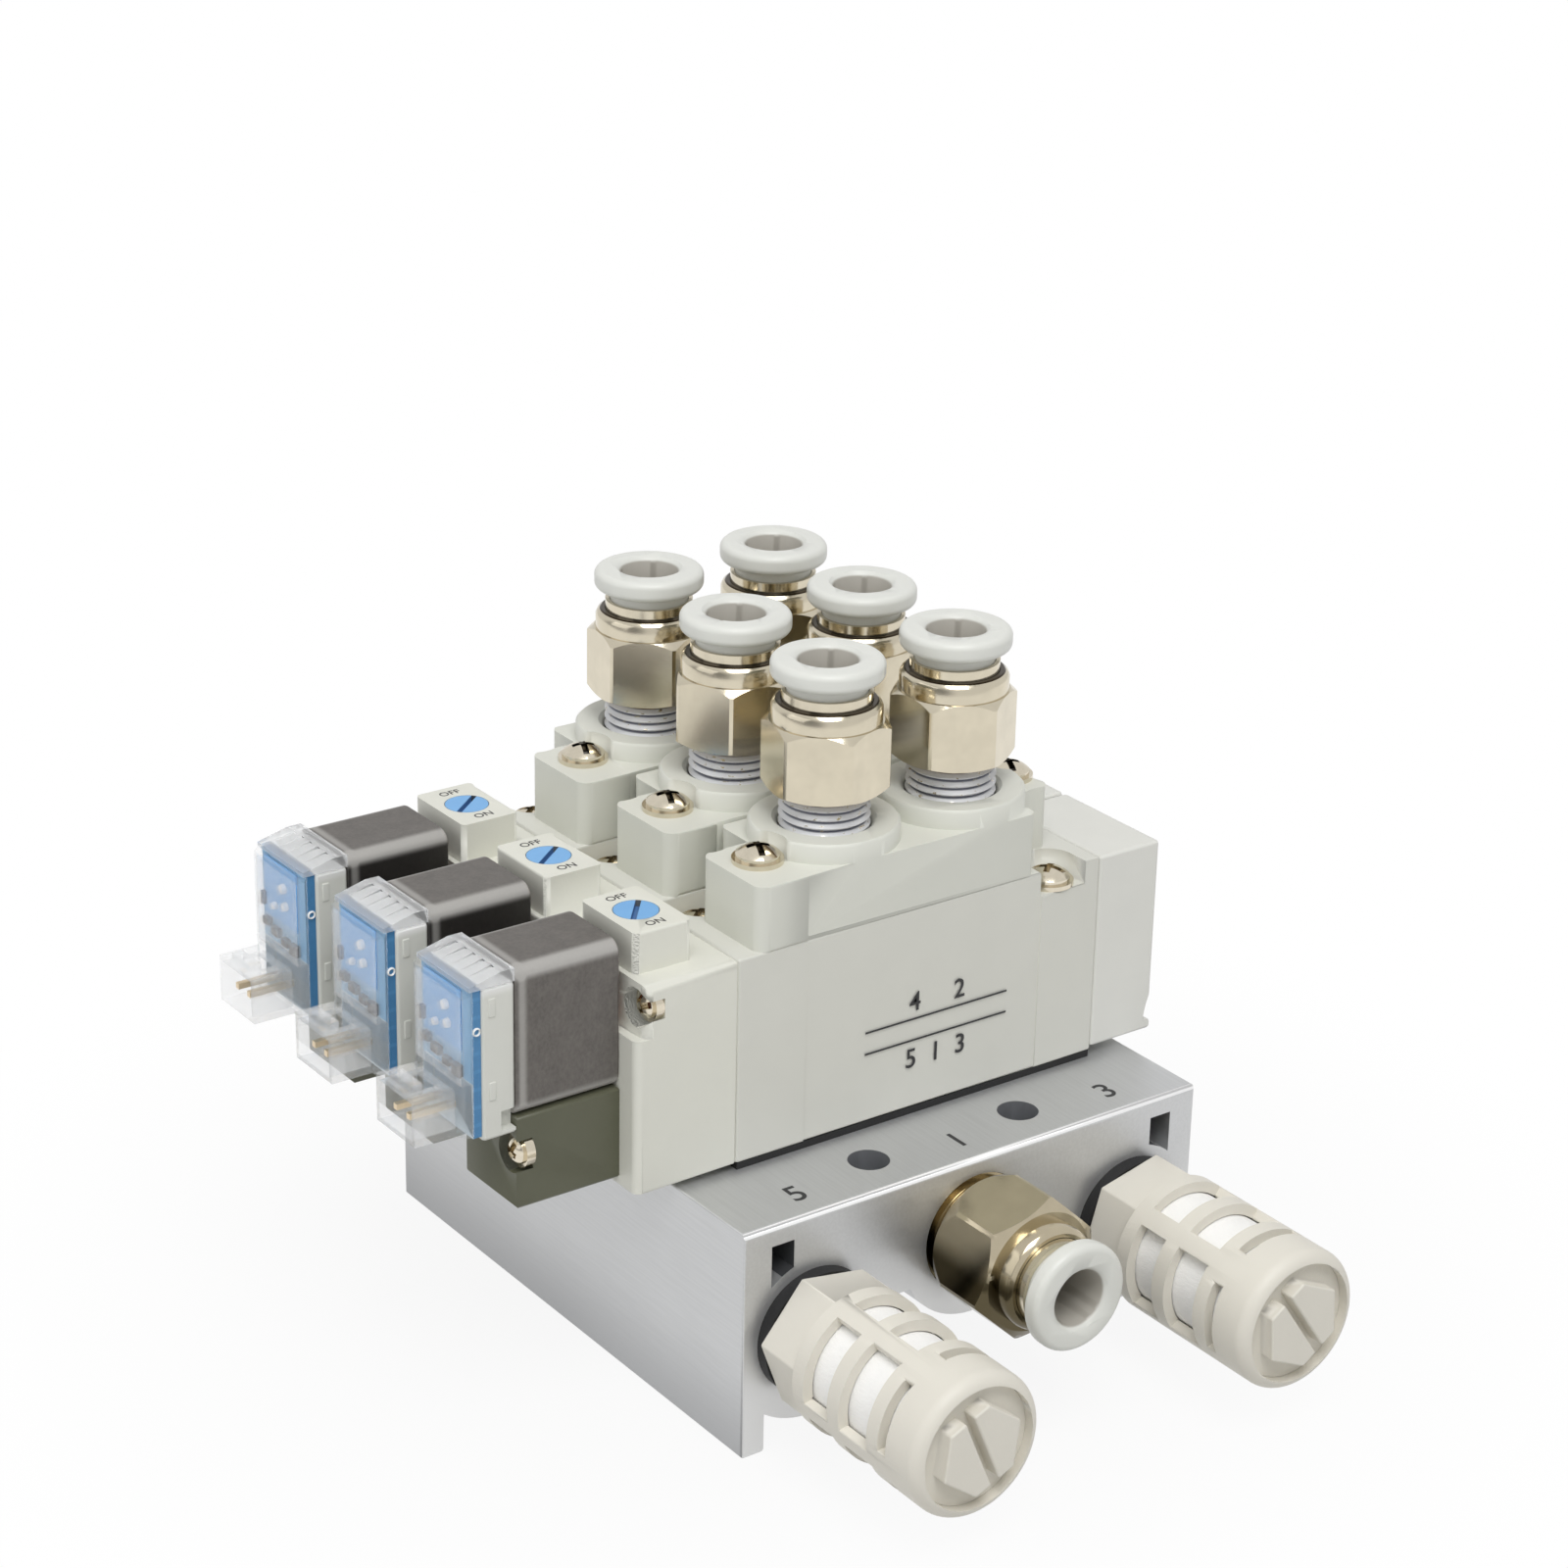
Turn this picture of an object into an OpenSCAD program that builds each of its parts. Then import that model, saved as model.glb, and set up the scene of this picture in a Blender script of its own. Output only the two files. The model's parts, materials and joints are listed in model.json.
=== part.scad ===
// Solenoid valve manifold: an aluminium bar with three pilot-operated valves side by side.
// Millimetres. Z is up, X runs along the bar towards its port end, Y runs along each valve,
// from its solenoid (-Y) to its end cap (+Y). The origin is the middle of the four mounting
// holes, on the top face of the bar.

/* [Manifold bar] */
// length of the bar along X
base_len = 68; // [66:1:76]
// width of the bar along Y
base_w = 60; // [59:0.5:66]
// height of the bar
base_h = 26; // [26:0.5:30]
// thickness of the two outer legs
leg_t = 2.8; // [2.2:0.1:3.6]
// distance of the exhaust ports from the middle of the bar
exhaust_y = 21.2; // [20.8:0.1:21.6]
// height of the exhaust port axes above the feet
exhaust_z = 12.6; // [12:0.1:13]
// height of the supply port axis above the feet
supply_z = 17.3; // [17:0.1:17.6]
// radius of the round hump round an exhaust gallery
exhaust_hump_r = 10.2; // [9.6:0.1:10.6]
// radius of the round hump round the supply gallery
supply_hump_r = 9.6; // [9:0.1:9.8]
// radius of the galleries
gallery_r = 5.5; // [4.8:0.1:5.6]
// diameter of the four mounting holes
mount_d = 4.5; // [3.5:0.1:4.6]
// spacing of the mounting holes across the bar
mount_w = 20; // [19.6:0.1:20.4]
// spacing of the mounting holes along the bar
mount_len = 58.5; // [57:0.1:58.7]
// distance of the front mounting holes from the port end
mount_edge = 6; // [5.6:0.1:6.2]
// chamfer on the top edges of the two ends
edge_chamfer = 0.5; // [0.2:0.1:0.8]

/* [Valves] */
// spacing of the valves along the bar
valve_pitch = 16.5; // [16.3:0.1:17]
// width of one valve
valve_w = 16.1; // [15.9:0.1:16.2]
// distance from the port end of the bar to the middle of the first valve
first_valve = 19.8; // [19.4:0.1:20.4]
// thickness of the gasket under a valve
gasket_t = 0.8; // [0.6:0.1:1]
// height of the valve body
body_h = 23.2; // [23:0.1:24]
// solenoid end of the valve body
body_y0 = -22.9; // [-23.2:0.1:-22.6]
// length of the valve body
body_len = 47.8; // [47.4:0.1:48.4]
// length of the end cap
cap_len = 8.5; // [7.5:0.1:10]
// radius of the spool
spool_r = 3.3; // [2.9:0.05:3.35]
// running clearance round the spool
spool_gap = 0.05; // [0.03:0.01:0.08]
// travel of the spool
spool_travel = 2.2; // [1.6:0.1:2.4]

/* [Port block] */
// height of the port block
block_h = 7.2; // [6.8:0.1:7.8]
// rise of the two round bosses above it
boss_rise = 2.1; // [1.6:0.1:2.6]
// port A along the valve
port_a_y = -6.6; // [-6.8:0.1:-6.4]
// spacing of ports A and B
port_pitch = 16.7; // [16.4:0.1:17]
// width of the tongue at either end of the block, from the middle line
tongue_x = 2.6; // [2.2:0.1:2.9]

/* [Push-in fittings] */
// outer diameter of the small taper thread
thread_d = 9.73; // [9.6:0.01:9.8]
// thread left in sight under the hexagon
thread_show = 3.5; // [2.6:0.1:4]
// hexagon across flats
hex_af = 12; // [11.8:0.1:12.2]
// height of the hexagon
hex_h = 7.5; // [7:0.1:8.5]
// diameter of the release collar
collar_d = 12; // [11.2:0.1:12.2]
// thickness of the collar flange
collar_t = 2.3; // [1.8:0.1:2.6]
// bore of the collar for a 6 mm tube
tube_bore = 6.25; // [6.1:0.05:6.4]
// stroke of the release collar
collar_travel = 1.0; // [0.6:0.1:1.1]
// running clearance of the collar neck
collar_gap = 0.07; // [0.04:0.01:0.09]

/* [Silencers] */
// hexagon of a silencer across flats
silencer_af = 13.6; // [13.2:0.1:14]
// radius of the silencer cage
cage_r = 7.9; // [7.6:0.1:8.1]
// length of a silencer in front of the bar
silencer_len = 27.5; // [26.5:0.5:31]
// width of a rib of the cage, as an angle
rib_angle = 16; // [12:1:22]

/* [Pilot unit] */
// width of the solenoid, turret and connector
pilot_w = 10; // [9.6:0.1:10.4]
// length of the pilot housing
housing_len = 12.4; // [12:0.1:13]
// height of the turret above the valve body
turret_h = 4.4; // [4:0.1:5]
// length of the solenoid cover
coil_len = 12.3; // [12:0.1:13]
// height of the solenoid cover
coil_h = 16.3; // [16:0.1:17]
// wall of the solenoid cover
cover_wall = 0.8; // [0.6:0.1:1]
// length of the connector socket
socket_len = 6; // [5.4:0.1:7]
// radius of the override knob
knob_r = 2.35; // [2.2:0.05:2.4]
// running clearance of the override knob
knob_gap = 0.07; // [0.04:0.01:0.09]
// stroke of the override
knob_travel = 1.2; // [0.8:0.1:1.4]
// stroke of the armature
armature_travel = 0.5; // [0.3:0.1:0.8]

/* [Hidden] */
$fa = 4;
$fs = 0.25;

eps = 0.01;
valves = 3;
bar_x1 = mount_len / 2 + mount_edge;
bar_x0 = bar_x1 - base_len;
half_w = base_w / 2;
vw = valve_w / 2;
pw = pilot_w / 2;

// heights
foot_z = -base_h;
exhaust_axis = foot_z + exhaust_z;
supply_axis = foot_z + supply_z;
body_z = gasket_t;
body_top = body_z + body_h;
block_top = body_top + block_h;
boss_top = block_top + boss_rise;
hex_z = boss_top + thread_show;
shoulder_h = 2.2;
rim_z = hex_z + hex_h + shoulder_h;
turret_top = body_top + turret_h;
spool_z = body_z + 11.8;
coil_z = turret_top - 0.2 - coil_h;
coil_mid = coil_z + coil_h / 2;

// places along Y
body_y1 = body_y0 + body_len;
port_b_y = port_a_y + port_pitch;
mid_y = port_a_y + port_pitch / 2;
housing_y0 = body_y0 - housing_len;
coil_y0 = housing_y0 - coil_len;
frame_t = 3.8;
frame_y0 = coil_y0 - frame_t;
board_t = 1;
board_y0 = frame_y0 - board_t;
window_t = 1.3;
window_y0 = board_y0 - window_t;
turret_y = body_y0 - 7.2;
socket_w = 7.4;
socket_h = 5.2;
latch_w = 4;
pin_pitch = 2.5;
pin_w = 0.64;
pin_len = 5.3;
pin_z = coil_z + 1.55;
knob_h = 1.5;
pin_h = 5.8;
passage_y = [mid_y - 18.3, mid_y, mid_y + 16.6];
passage_r = 2;
spool_out = 1.4;
seal_r = 3.9;
seal_t = 0.9;

// screws
screw_r = 1.5;
screw_head_r = 2.35;
screw_rim = 0.4;
screw_rim_h = 0.5;
pilot_rim_h = 1;
screw_play = 0.1;
screw_bite = 6;
pilot_bite = 4.5;
screw_x = 5.5;
screw_y = [body_y0 + 4.5, body_y1 - 5.1];
pocket_r = 3.05;
pocket_deep = 2.65;
pocket_z = body_top - pocket_deep;
block_screw_x = 1.9;
block_screw_y = [mid_y - 18.15, mid_y + 17.85];
pilot_screw_r = 1;
pilot_head_r = 1.45;
notch_x = 6.2;
notch_z = body_top - 2.95;
notch_r = pilot_head_r + screw_rim + 0.3;
notch_y = housing_y0 + 3.4;
base_screw_x = 3.7;
base_screw_z = coil_z - 4.4;

// push-in parts, measured from the rim of the fitting
sleeve_r = 4.8;
sleeve_in_r = 4.35;
sleeve_seat = -5.7;
sleeve_top = 1.1;
collar_z = sleeve_top + collar_travel + 0.2;
neck_bottom = -4.5;
tube_stop = -8.2;

// port block ends
block_y0 = mid_y - 22.2;
block_y1 = mid_y + 20.2;
step_y0 = mid_y - 16.2;
step_y1 = mid_y + 14.1;

// marks of the label zone on the valve side
zone_y0 = body_y0 + 8.6;
zone_y1 = body_y1 - 8;
zone_cut = 0.15;

// galleries and the threads in their ends
galleries = [[-exhaust_y, exhaust_axis], [0, supply_axis], [exhaust_y, exhaust_axis]];
big_thread_r = 6.58;
big_depth = 9;
thread_play = 0.1;
key_af = 6;
key_deep = 4;
slot_edge = 4.8;
slot_w = 2.8;
slot_deep = 7.5;
slot_roof = 2.3;

// supply fitting: its rim is supply_rim in front of the bar
supply_rim = 12.6;
supply_turn = 46.15;

// silencers, measured along their axis from the end of the bar
silencer_turns = [20.5, 43];
cap_turns = [113, 124.7];
washer_t = 1.5;
hex_end = 7.3;
rows = [[9.1, 4.0], [15, 4.6]];
slot_row = [21.4, 1.3];
cage_wall = 1.2;
stub_in_r = 4.4;
plug_z = silencer_len - 3;
plug_t = 1.8;
boss_t = 1.8;

// turns of the parts that were screwed in by hand
hex_turns = [[46, 2], [22, 35], [50, 12]];
slot_turns = [-40, -52, -51];

// one valve, counted from the port end
module at_valve(k) {
    translate([bar_x1 - first_valve - k * valve_pitch, 0, 0])
        children();
}

// side of the valve of its first and second screw
function valve_side(i) = i == 0 ? -1 : 1;

module each_valve() {
    for (k = [0 : valves - 1])
        at_valve(k)
            children();
}

// a box from corner to corner
module span(a, b) {
    translate(a)
        cube(b - a);
}

// rounded rectangle centred on the origin, exact arcs
module round_rect(w, d, r) {
    square([w - 2 * r, d], center = true);
    square([w, d - 2 * r], center = true);
    for (sx = [-1, 1])
        for (sy = [-1, 1])
            translate([sx * (w / 2 - r), sy * (d / 2 - r)])
                circle(r);
}

// lays a drawing made in Y and Z along X, starting at x0
module along_x(x0, len) {
    translate([x0, 0, 0])
        rotate([90, 0, 90])
            linear_extrude(len)
                children();
}

// turns +Z to +X
module to_x() {
    rotate([0, 90, 0])
        children();
}

// ring of one outline, for seals and sleeves
module ring(r_out, r_in, h) {
    difference() {
        cylinder(r = r_out, h = h);
        translate([0, 0, -eps])
            cylinder(r = r_in, h = h + 2 * eps);
    }
}

// threaded stub hanging below z = 0
module threaded_stub(r, len, pitch, depth) {
    turns = floor(len / pitch);
    edge = [for (i = [0 : turns - 1]) for (s = [0 : 1])
        [s == 0 ? r : r - depth, -i * pitch - (s == 0 ? 0.15 : 0.6) * pitch]];
    rotate_extrude()
        polygon(concat([[0, 0], [r - depth, 0]], edge,
            [[r - depth, -turns * pitch], [r - depth - 0.2, -len], [0, -len]]));
}

// hexagon prism with both rims turned off
module turned_hex(af, h, bottom_cut, top_cut) {
    corner = af / sqrt(3);
    flat = af / 2 + 0.05;
    clip = corner - 0.12;
    intersection() {
        cylinder(r = corner, h = h, $fn = 6);
        rotate_extrude()
            polygon([[0, 0], [flat, 0], [clip, bottom_cut], [clip, h - top_cut], [flat, h], [0, h]]);
    }
}

// bores shared by every push-in body, measured from its rim
module push_bores(below) {
    translate([0, 0, sleeve_seat])
        cylinder(r = sleeve_r + 0.05, h = -sleeve_seat + eps);
    translate([0, 0, tube_stop])
        cylinder(r = 3.1, h = sleeve_seat - tube_stop + eps);
    translate([0, 0, -below - eps])
        cylinder(r = 2.1, h = below + tube_stop + 2 * eps);
}

module push_rim(r, h) {
    rotate_extrude()
        polygon([[0, 0], [r, 0], [r, h - 0.7], [r - 0.2, h - 0.3], [r - 0.6, h], [0, h]]);
}

module push_sleeve() {
    translate([0, 0, sleeve_seat])
        ring(sleeve_r, sleeve_in_r, sleeve_top - sleeve_seat);
}

module push_collar() {
    r = collar_d / 2;
    bore = tube_bore / 2;
    soft = 0.8;
    neck = sleeve_in_r - collar_gap;
    color([0.88, 0.89, 0.88])
        difference() {
            union() {
                rotate_extrude() {
                    translate([0, collar_z])
                        square([r - soft, collar_t]);
                    translate([0, collar_z + soft])
                        square([r, collar_t - 2 * soft]);
                    for (s = [0, 1])
                        translate([r - soft, collar_z + soft + s * (collar_t - 2 * soft)])
                            circle(soft);
                }
                translate([0, 0, neck_bottom])
                    cylinder(r = neck, h = collar_z - neck_bottom + eps);
            }
            translate([0, 0, neck_bottom - 1])
                cylinder(r = bore, h = collar_z + collar_t - neck_bottom + 2);
            translate([0, 0, collar_z + collar_t - 0.5])
                cylinder(r1 = bore, r2 = bore + 0.6, h = 0.6);
        }
}

// pan head with a washer face, cross recess and slot, head upwards from z = 0
module pan_screw(r, head_r, length, rim_h) {
    head_h = rim_h + head_r * 0.6;
    difference() {
        union() {
            translate([0, 0, -length])
                cylinder(r = r, h = length + eps);
            cylinder(r = head_r + screw_rim, h = rim_h);
            intersection() {
                cylinder(r = head_r, h = head_h);
                translate([0, 0, head_h - head_r * 1.45])
                    sphere(r = head_r * 1.45);
            }
        }
        translate([-head_r - 1, -0.35, head_h - 0.55])
            cube([2 * head_r + 2, 0.7, 2]);
        translate([-0.35, -head_r * 0.52, head_h - 1.1])
            cube([0.7, head_r * 1.04, 3]);
        translate([-head_r * 0.52, -0.35, head_h - 1.1])
            cube([head_r * 1.04, 0.7, 3]);
    }
}

// outline of the bar in Y and Z
module bar_outline() {
    cavity_h = base_h / 2;
    nook = exhaust_z - sqrt(pow(exhaust_hump_r, 2) - pow(half_w - leg_t - exhaust_y, 2));
    difference() {
        translate([-half_w, 0])
            square([base_w, base_h]);
        difference() {
            translate([-half_w + leg_t, -1])
                square([base_w - 2 * leg_t, cavity_h + 1]);
            for (s = [-1, 1]) {
                translate([s * exhaust_y, exhaust_z])
                    circle(exhaust_hump_r);
                translate([s > 0 ? exhaust_y : -half_w, nook + 0.4])
                    square([half_w - exhaust_y, base_h]);
            }
            translate([0, supply_z])
                circle(supply_hump_r);
        }
        for (s = [-1, 1])
            difference() {
                translate([s * (half_w - slot_edge) - slot_w / 2, base_h - slot_deep])
                    square([slot_w, slot_deep - slot_roof]);
                translate([s * exhaust_y, exhaust_z])
                    circle(gallery_r + 2.8);
            }
    }
}

module manifold_base() {
    color([0.72, 0.73, 0.74])
        difference() {
            along_x(bar_x0, base_len)
                translate([0, foot_z])
                    bar_outline();
            for (p = galleries)
                translate([bar_x0 - 1, p[0], p[1]])
                    to_x() {
                        cylinder(r = gallery_r, h = base_len + 2);
                        cylinder(r = big_thread_r + thread_play, h = big_depth + 1);
                        translate([0, 0, base_len - big_depth])
                            cylinder(r = big_thread_r + thread_play, h = big_depth + 3);
                    }
            for (sx = [-1, 1])
                for (sy = [-1, 1])
                    translate([sx * mount_len / 2, sy * mount_w / 2, foot_z - 1])
                        cylinder(d = mount_d, h = base_h + 2);
            each_valve() {
                for (y = passage_y)
                    translate([0, y, exhaust_axis])
                        cylinder(r = passage_r, h = base_h);
                for (i = [0, 1])
                    translate([valve_side(i) * screw_x, screw_y[i], -screw_bite - 0.5])
                        cylinder(r = screw_r + 0.05, h = screw_bite + 3);
            }
            for (x = [bar_x0, bar_x1])
                translate([x, 0, 0])
                    rotate([0, 45, 0])
                        cube([edge_chamfer * sqrt(2), base_w + 2, edge_chamfer * sqrt(2)], center = true);
        }
}

module gaskets() {
    color([0.05, 0.05, 0.05])
        each_valve()
            difference() {
                span([-vw + 0.1, body_y0 + 0.2, 0], [vw - 0.1, body_y1 - 0.2, body_z]);
                for (y = passage_y)
                    translate([0, y, -1])
                        cylinder(r = passage_r + 0.3, h = gasket_t + 2);
                for (i = [0, 1])
                    translate([valve_side(i) * screw_x, screw_y[i], -1])
                        cylinder(r = screw_r + screw_play, h = gasket_t + 2);
            }
}

module port_seals() {
    color([0.06, 0.06, 0.06])
        each_valve()
            for (y = [port_a_y, port_b_y])
                translate([0, y, body_top - seal_t])
                    ring(seal_r, seal_r - 1.2, seal_t);
}

// screw pockets, open to the side of the valve
module screw_pockets() {
    for (i = [0, 1]) {
        side = valve_side(i);
        translate([side * screw_x, screw_y[i], pocket_z]) {
            cylinder(r = pocket_r, h = pocket_deep + 1);
            translate([side > 0 ? 0 : -vw, -pocket_r, 0])
                cube([vw, 2 * pocket_r, pocket_deep + 1]);
        }
    }
}

module valve_body(k) {
    color([0.80, 0.81, 0.78])
        at_valve(k)
            difference() {
                span([-vw, body_y0, body_z], [vw, body_y1, body_top]);
                for (s = [-1, 1])
                    span([s > 0 ? vw - zone_cut : -vw - 1, zone_y0, body_z - 1],
                        [s > 0 ? vw + 1 : -vw + zone_cut, zone_y1, body_top + 1]);
                translate([0, body_y0 - 1, spool_z])
                    rotate([-90, 0, 0])
                        cylinder(r = spool_r + spool_gap, h = body_len + 2);
                for (y = passage_y)
                    translate([0, y, body_z - 1])
                        cylinder(r = passage_r, h = spool_z - body_z + 1);
                for (y = [port_a_y, port_b_y]) {
                    translate([0, y, spool_z])
                        cylinder(r = passage_r, h = body_top);
                    translate([0, y, body_top - seal_t])
                        cylinder(r = seal_r + 0.1, h = 3);
                }
                screw_pockets();
                for (i = [0, 1]) {
                    translate([valve_side(i) * screw_x, screw_y[i], body_z - 1])
                        cylinder(r = screw_r + screw_play, h = body_h + 2);
                    translate([-valve_side(i) * block_screw_x, block_screw_y[i], body_top - screw_bite - 0.5])
                        cylinder(r = screw_r + 0.05, h = screw_bite + 3);
                }
                translate([notch_x, body_y0 - 1, notch_z])
                    rotate([-90, 0, 0])
                        cylinder(r = pilot_screw_r + 0.05, h = pilot_bite + 1.5);
            }
}

// plan of the port block: two tongues, set diagonally
module block_plan() {
    r = 1.4;
    translate([(vw - tongue_x) / 2, (block_y0 + step_y1) / 2])
        round_rect(vw + tongue_x, step_y1 - block_y0, r);
    translate([(tongue_x - vw) / 2, (step_y0 + block_y1) / 2])
        round_rect(vw + tongue_x, block_y1 - step_y0, r);
}

module port_block(k) {
    color([0.78, 0.80, 0.79])
        at_valve(k)
            difference() {
                union() {
                    translate([0, 0, body_top])
                        linear_extrude(block_h)
                            block_plan();
                    for (y = [port_a_y, port_b_y])
                        translate([0, y, body_top]) {
                            cylinder(r = vw, h = block_h + boss_rise - 0.3);
                            translate([0, 0, block_h + boss_rise - 0.3])
                                cylinder(r1 = vw, r2 = vw - 0.3, h = 0.3);
                        }
                }
                for (s = [-1, 1])
                    span([s > 0 ? vw - zone_cut : -vw - 1, zone_y0, body_top - 1],
                        [s > 0 ? vw + 1 : -vw + zone_cut, zone_y1, boss_top + 1]);
                for (y = [port_a_y, port_b_y])
                    translate([0, y, 0]) {
                        translate([0, 0, body_top - 1])
                            cylinder(r = passage_r + 0.1, h = block_h + 2);
                        translate([0, 0, body_top + 2])
                            cylinder(r = thread_d / 2 + thread_play, h = block_h + boss_rise);
                        translate([0, 0, boss_top - 0.6])
                            cylinder(r1 = thread_d / 2 + thread_play, r2 = thread_d / 2 + 0.7, h = 0.61);
                    }
                for (i = [0, 1]) {
                    side = valve_side(i);
                    translate([side * screw_x, screw_y[i], body_top - 1])
                        cylinder(r = pocket_r + 0.1, h = block_h + 4);
                    translate([-side * block_screw_x, block_screw_y[i], body_top - 1])
                        cylinder(r = screw_r + screw_play, h = block_h + 4);
                    translate([-side * block_screw_x, block_screw_y[i], block_top])
                        cylinder(r = screw_head_r + screw_rim + 0.3, h = boss_rise + 1);
                }
            }
}

module valve_screws() {
    color([0.80, 0.76, 0.68])
        each_valve()
            for (i = [0, 1]) {
                side = valve_side(i);
                translate([side * screw_x, screw_y[i], pocket_z])
                    rotate([0, 0, 35])
                        pan_screw(screw_r, screw_head_r, pocket_z + screw_bite, screw_rim_h);
                translate([-side * block_screw_x, block_screw_y[i], block_top])
                    rotate([0, 0, -20])
                        pan_screw(screw_r, screw_head_r, block_h + screw_bite, screw_rim_h);
            }
}

module end_caps() {
    notch = 1;
    color([0.83, 0.84, 0.81])
        each_valve()
            difference() {
                span([-vw, body_y1, body_z + 0.3], [vw, body_y1 + cap_len, body_top]);
                translate([0, body_y1 - 1, spool_z])
                    rotate([-90, 0, 0])
                        cylinder(r = spool_r + spool_gap, h = 1 + spool_out + spool_travel + 1.4);
                translate([-vw - 1, body_y1 + cap_len, body_z + 2.8])
                    rotate([90, 0, 90])
                        linear_extrude(valve_w + 2)
                            polygon([[-notch, -1.2], [1, -1.2], [1, 1.7], [0, 1.7]]);
            }
}

// plan of the pilot housing, its two front corners rounded
module housing_plan(front) {
    r = 0.9;
    translate([-vw + r, front])
        square([valve_w - 2 * r, body_y0 - front]);
    translate([-vw, front + r])
        square([valve_w, body_y0 - front - r]);
    for (s = [-1, 1])
        translate([s * (vw - r), front + r])
            circle(r);
}

module pilot_housing(k) {
    top_z = body_top - 0.1;
    step_z = body_top - 6;
    step_y = housing_y0 + 1.1;
    color([0.87, 0.87, 0.83])
        at_valve(k)
            difference() {
                union() {
                    translate([0, 0, body_z])
                        linear_extrude(step_z - body_z)
                            housing_plan(housing_y0);
                    translate([0, 0, step_z - eps])
                        linear_extrude(top_z - step_z + eps)
                            housing_plan(step_y);
                    translate([0, turret_y, top_z - eps])
                        linear_extrude(turret_top - top_z + eps)
                            round_rect(pilot_w, 6.9, 0.6);
                }
                for (s = [-1, 1])
                    translate([s * vw, housing_y0 + housing_len / 2, top_z])
                        rotate([0, 45, 0])
                            cube([0.9, housing_len + 2, 0.9], center = true);
                translate([0, turret_y, turret_top - knob_h - pin_h - knob_travel - 0.3])
                    cylinder(r = knob_r + knob_gap, h = 20);
                translate([0, body_y0 - 3.6, spool_z])
                    rotate([-90, 0, 0])
                        cylinder(r = spool_r + spool_gap, h = 5);
                translate([0, housing_y0 - 1, coil_mid])
                    rotate([-90, 0, 0])
                        cylinder(r = 1.2, h = 5);
                translate([notch_x, notch_y, notch_z]) {
                    rotate([90, 0, 0])
                        cylinder(r = notch_r, h = housing_len);
                    rotate([-90, 0, 0])
                        cylinder(r = pilot_screw_r + screw_play, h = housing_len);
                }
                translate([base_screw_x, housing_y0 - 1, base_screw_z])
                    rotate([-90, 0, 0])
                        cylinder(r = pilot_screw_r + 0.05, h = pilot_bite + 1.5);
            }
}

module pilot_screws() {
    color([0.80, 0.76, 0.68])
        each_valve() {
            translate([notch_x, notch_y, notch_z])
                rotate([90, 0, 0])
                    rotate([0, 0, 20])
                        pan_screw(pilot_screw_r, pilot_head_r, body_y0 - notch_y + pilot_bite, pilot_rim_h);
            translate([base_screw_x, coil_y0 + 2, base_screw_z])
                rotate([90, 0, 0])
                    rotate([0, 0, 70])
                        pan_screw(pilot_screw_r, pilot_head_r, coil_len - 2 + pilot_bite, pilot_rim_h);
        }
}

module pilot_bases() {
    color([0.36, 0.36, 0.29])
        each_valve()
            difference() {
                span([-pw, coil_y0 + 0.1, body_z + 0.8], [pw, housing_y0, coil_z]);
                translate([base_screw_x, coil_y0 - 1, base_screw_z])
                    rotate([-90, 0, 0]) {
                        cylinder(r = notch_r, h = 3);
                        cylinder(r = pilot_screw_r + screw_play, h = coil_len + 3);
                    }
            }
}

module coil_cover(k) {
    r = 1.6;
    color([0.46, 0.45, 0.43])
        at_valve(k)
            translate([0, housing_y0, coil_mid])
                rotate([90, 0, 0])
                    difference() {
                        linear_extrude(coil_len)
                            round_rect(pilot_w, coil_h, r);
                        translate([0, 0, -1])
                            linear_extrude(coil_len - cover_wall + 1)
                                round_rect(pilot_w - 2 * cover_wall, coil_h - 2 * cover_wall, r - 0.8 * cover_wall);
                    }
}

module coils() {
    color([0.55, 0.30, 0.14])
        each_valve()
            translate([0, housing_y0, coil_mid])
                rotate([90, 0, 0])
                    ring(pw - cover_wall - 0.05, 1.8, coil_len - cover_wall);
}

module armature(k) {
    color([0.62, 0.63, 0.65])
        at_valve(k)
            translate([0, housing_y0 - 0.3, coil_mid])
                rotate([90, 0, 0])
                    union() {
                        cylinder(r = 1.74, h = coil_len - cover_wall - armature_travel - 2.5);
                        translate([0, 0, -1.8])
                            cylinder(r = 0.8, h = 2);
                    }
}

module connector_frame(k) {
    z0 = coil_z - 1.6;
    z1 = turret_top - 1.4;
    color([0.85, 0.85, 0.82])
        at_valve(k)
            difference() {
                span([-pw, frame_y0, z0], [pw, coil_y0, z1]);
                for (s = [-1, 1])
                    span([s > 0 ? pw - 1 : -pw - 1, coil_y0 - 1.7, z0 + 0.7],
                        [s > 0 ? pw + 1 : -pw + 1, coil_y0 + 1, z0 + 2.9]);
                span([-pw + 1.2, frame_y0 - 1, z0 + 3.6], [pw - 1.2, frame_y0 + 1.6, z1 - 1.2]);
            }
}

module circuit_board(k) {
    z0 = coil_z - 1;
    z1 = turret_top - 1.4;
    color([0.15, 0.42, 0.66])
        at_valve(k) {
            span([-pw + 0.25, board_y0, z0], [pw - 0.25, frame_y0, z1]);
            for (s = [-1, 1])
                translate([s * pin_pitch / 2 - pin_w / 2, board_y0 - pin_len, pin_z - pin_w / 2])
                    cube([pin_w, pin_len + eps, pin_w]);
        }
}

// plan of the clear window with its two front edges bevelled
module window_plan(w, d) {
    b = 0.9;
    polygon([[-w, 0], [w, 0], [w, -d + b], [w - b, -d], [-w + b, -d], [-w, -d + b]]);
}

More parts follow.
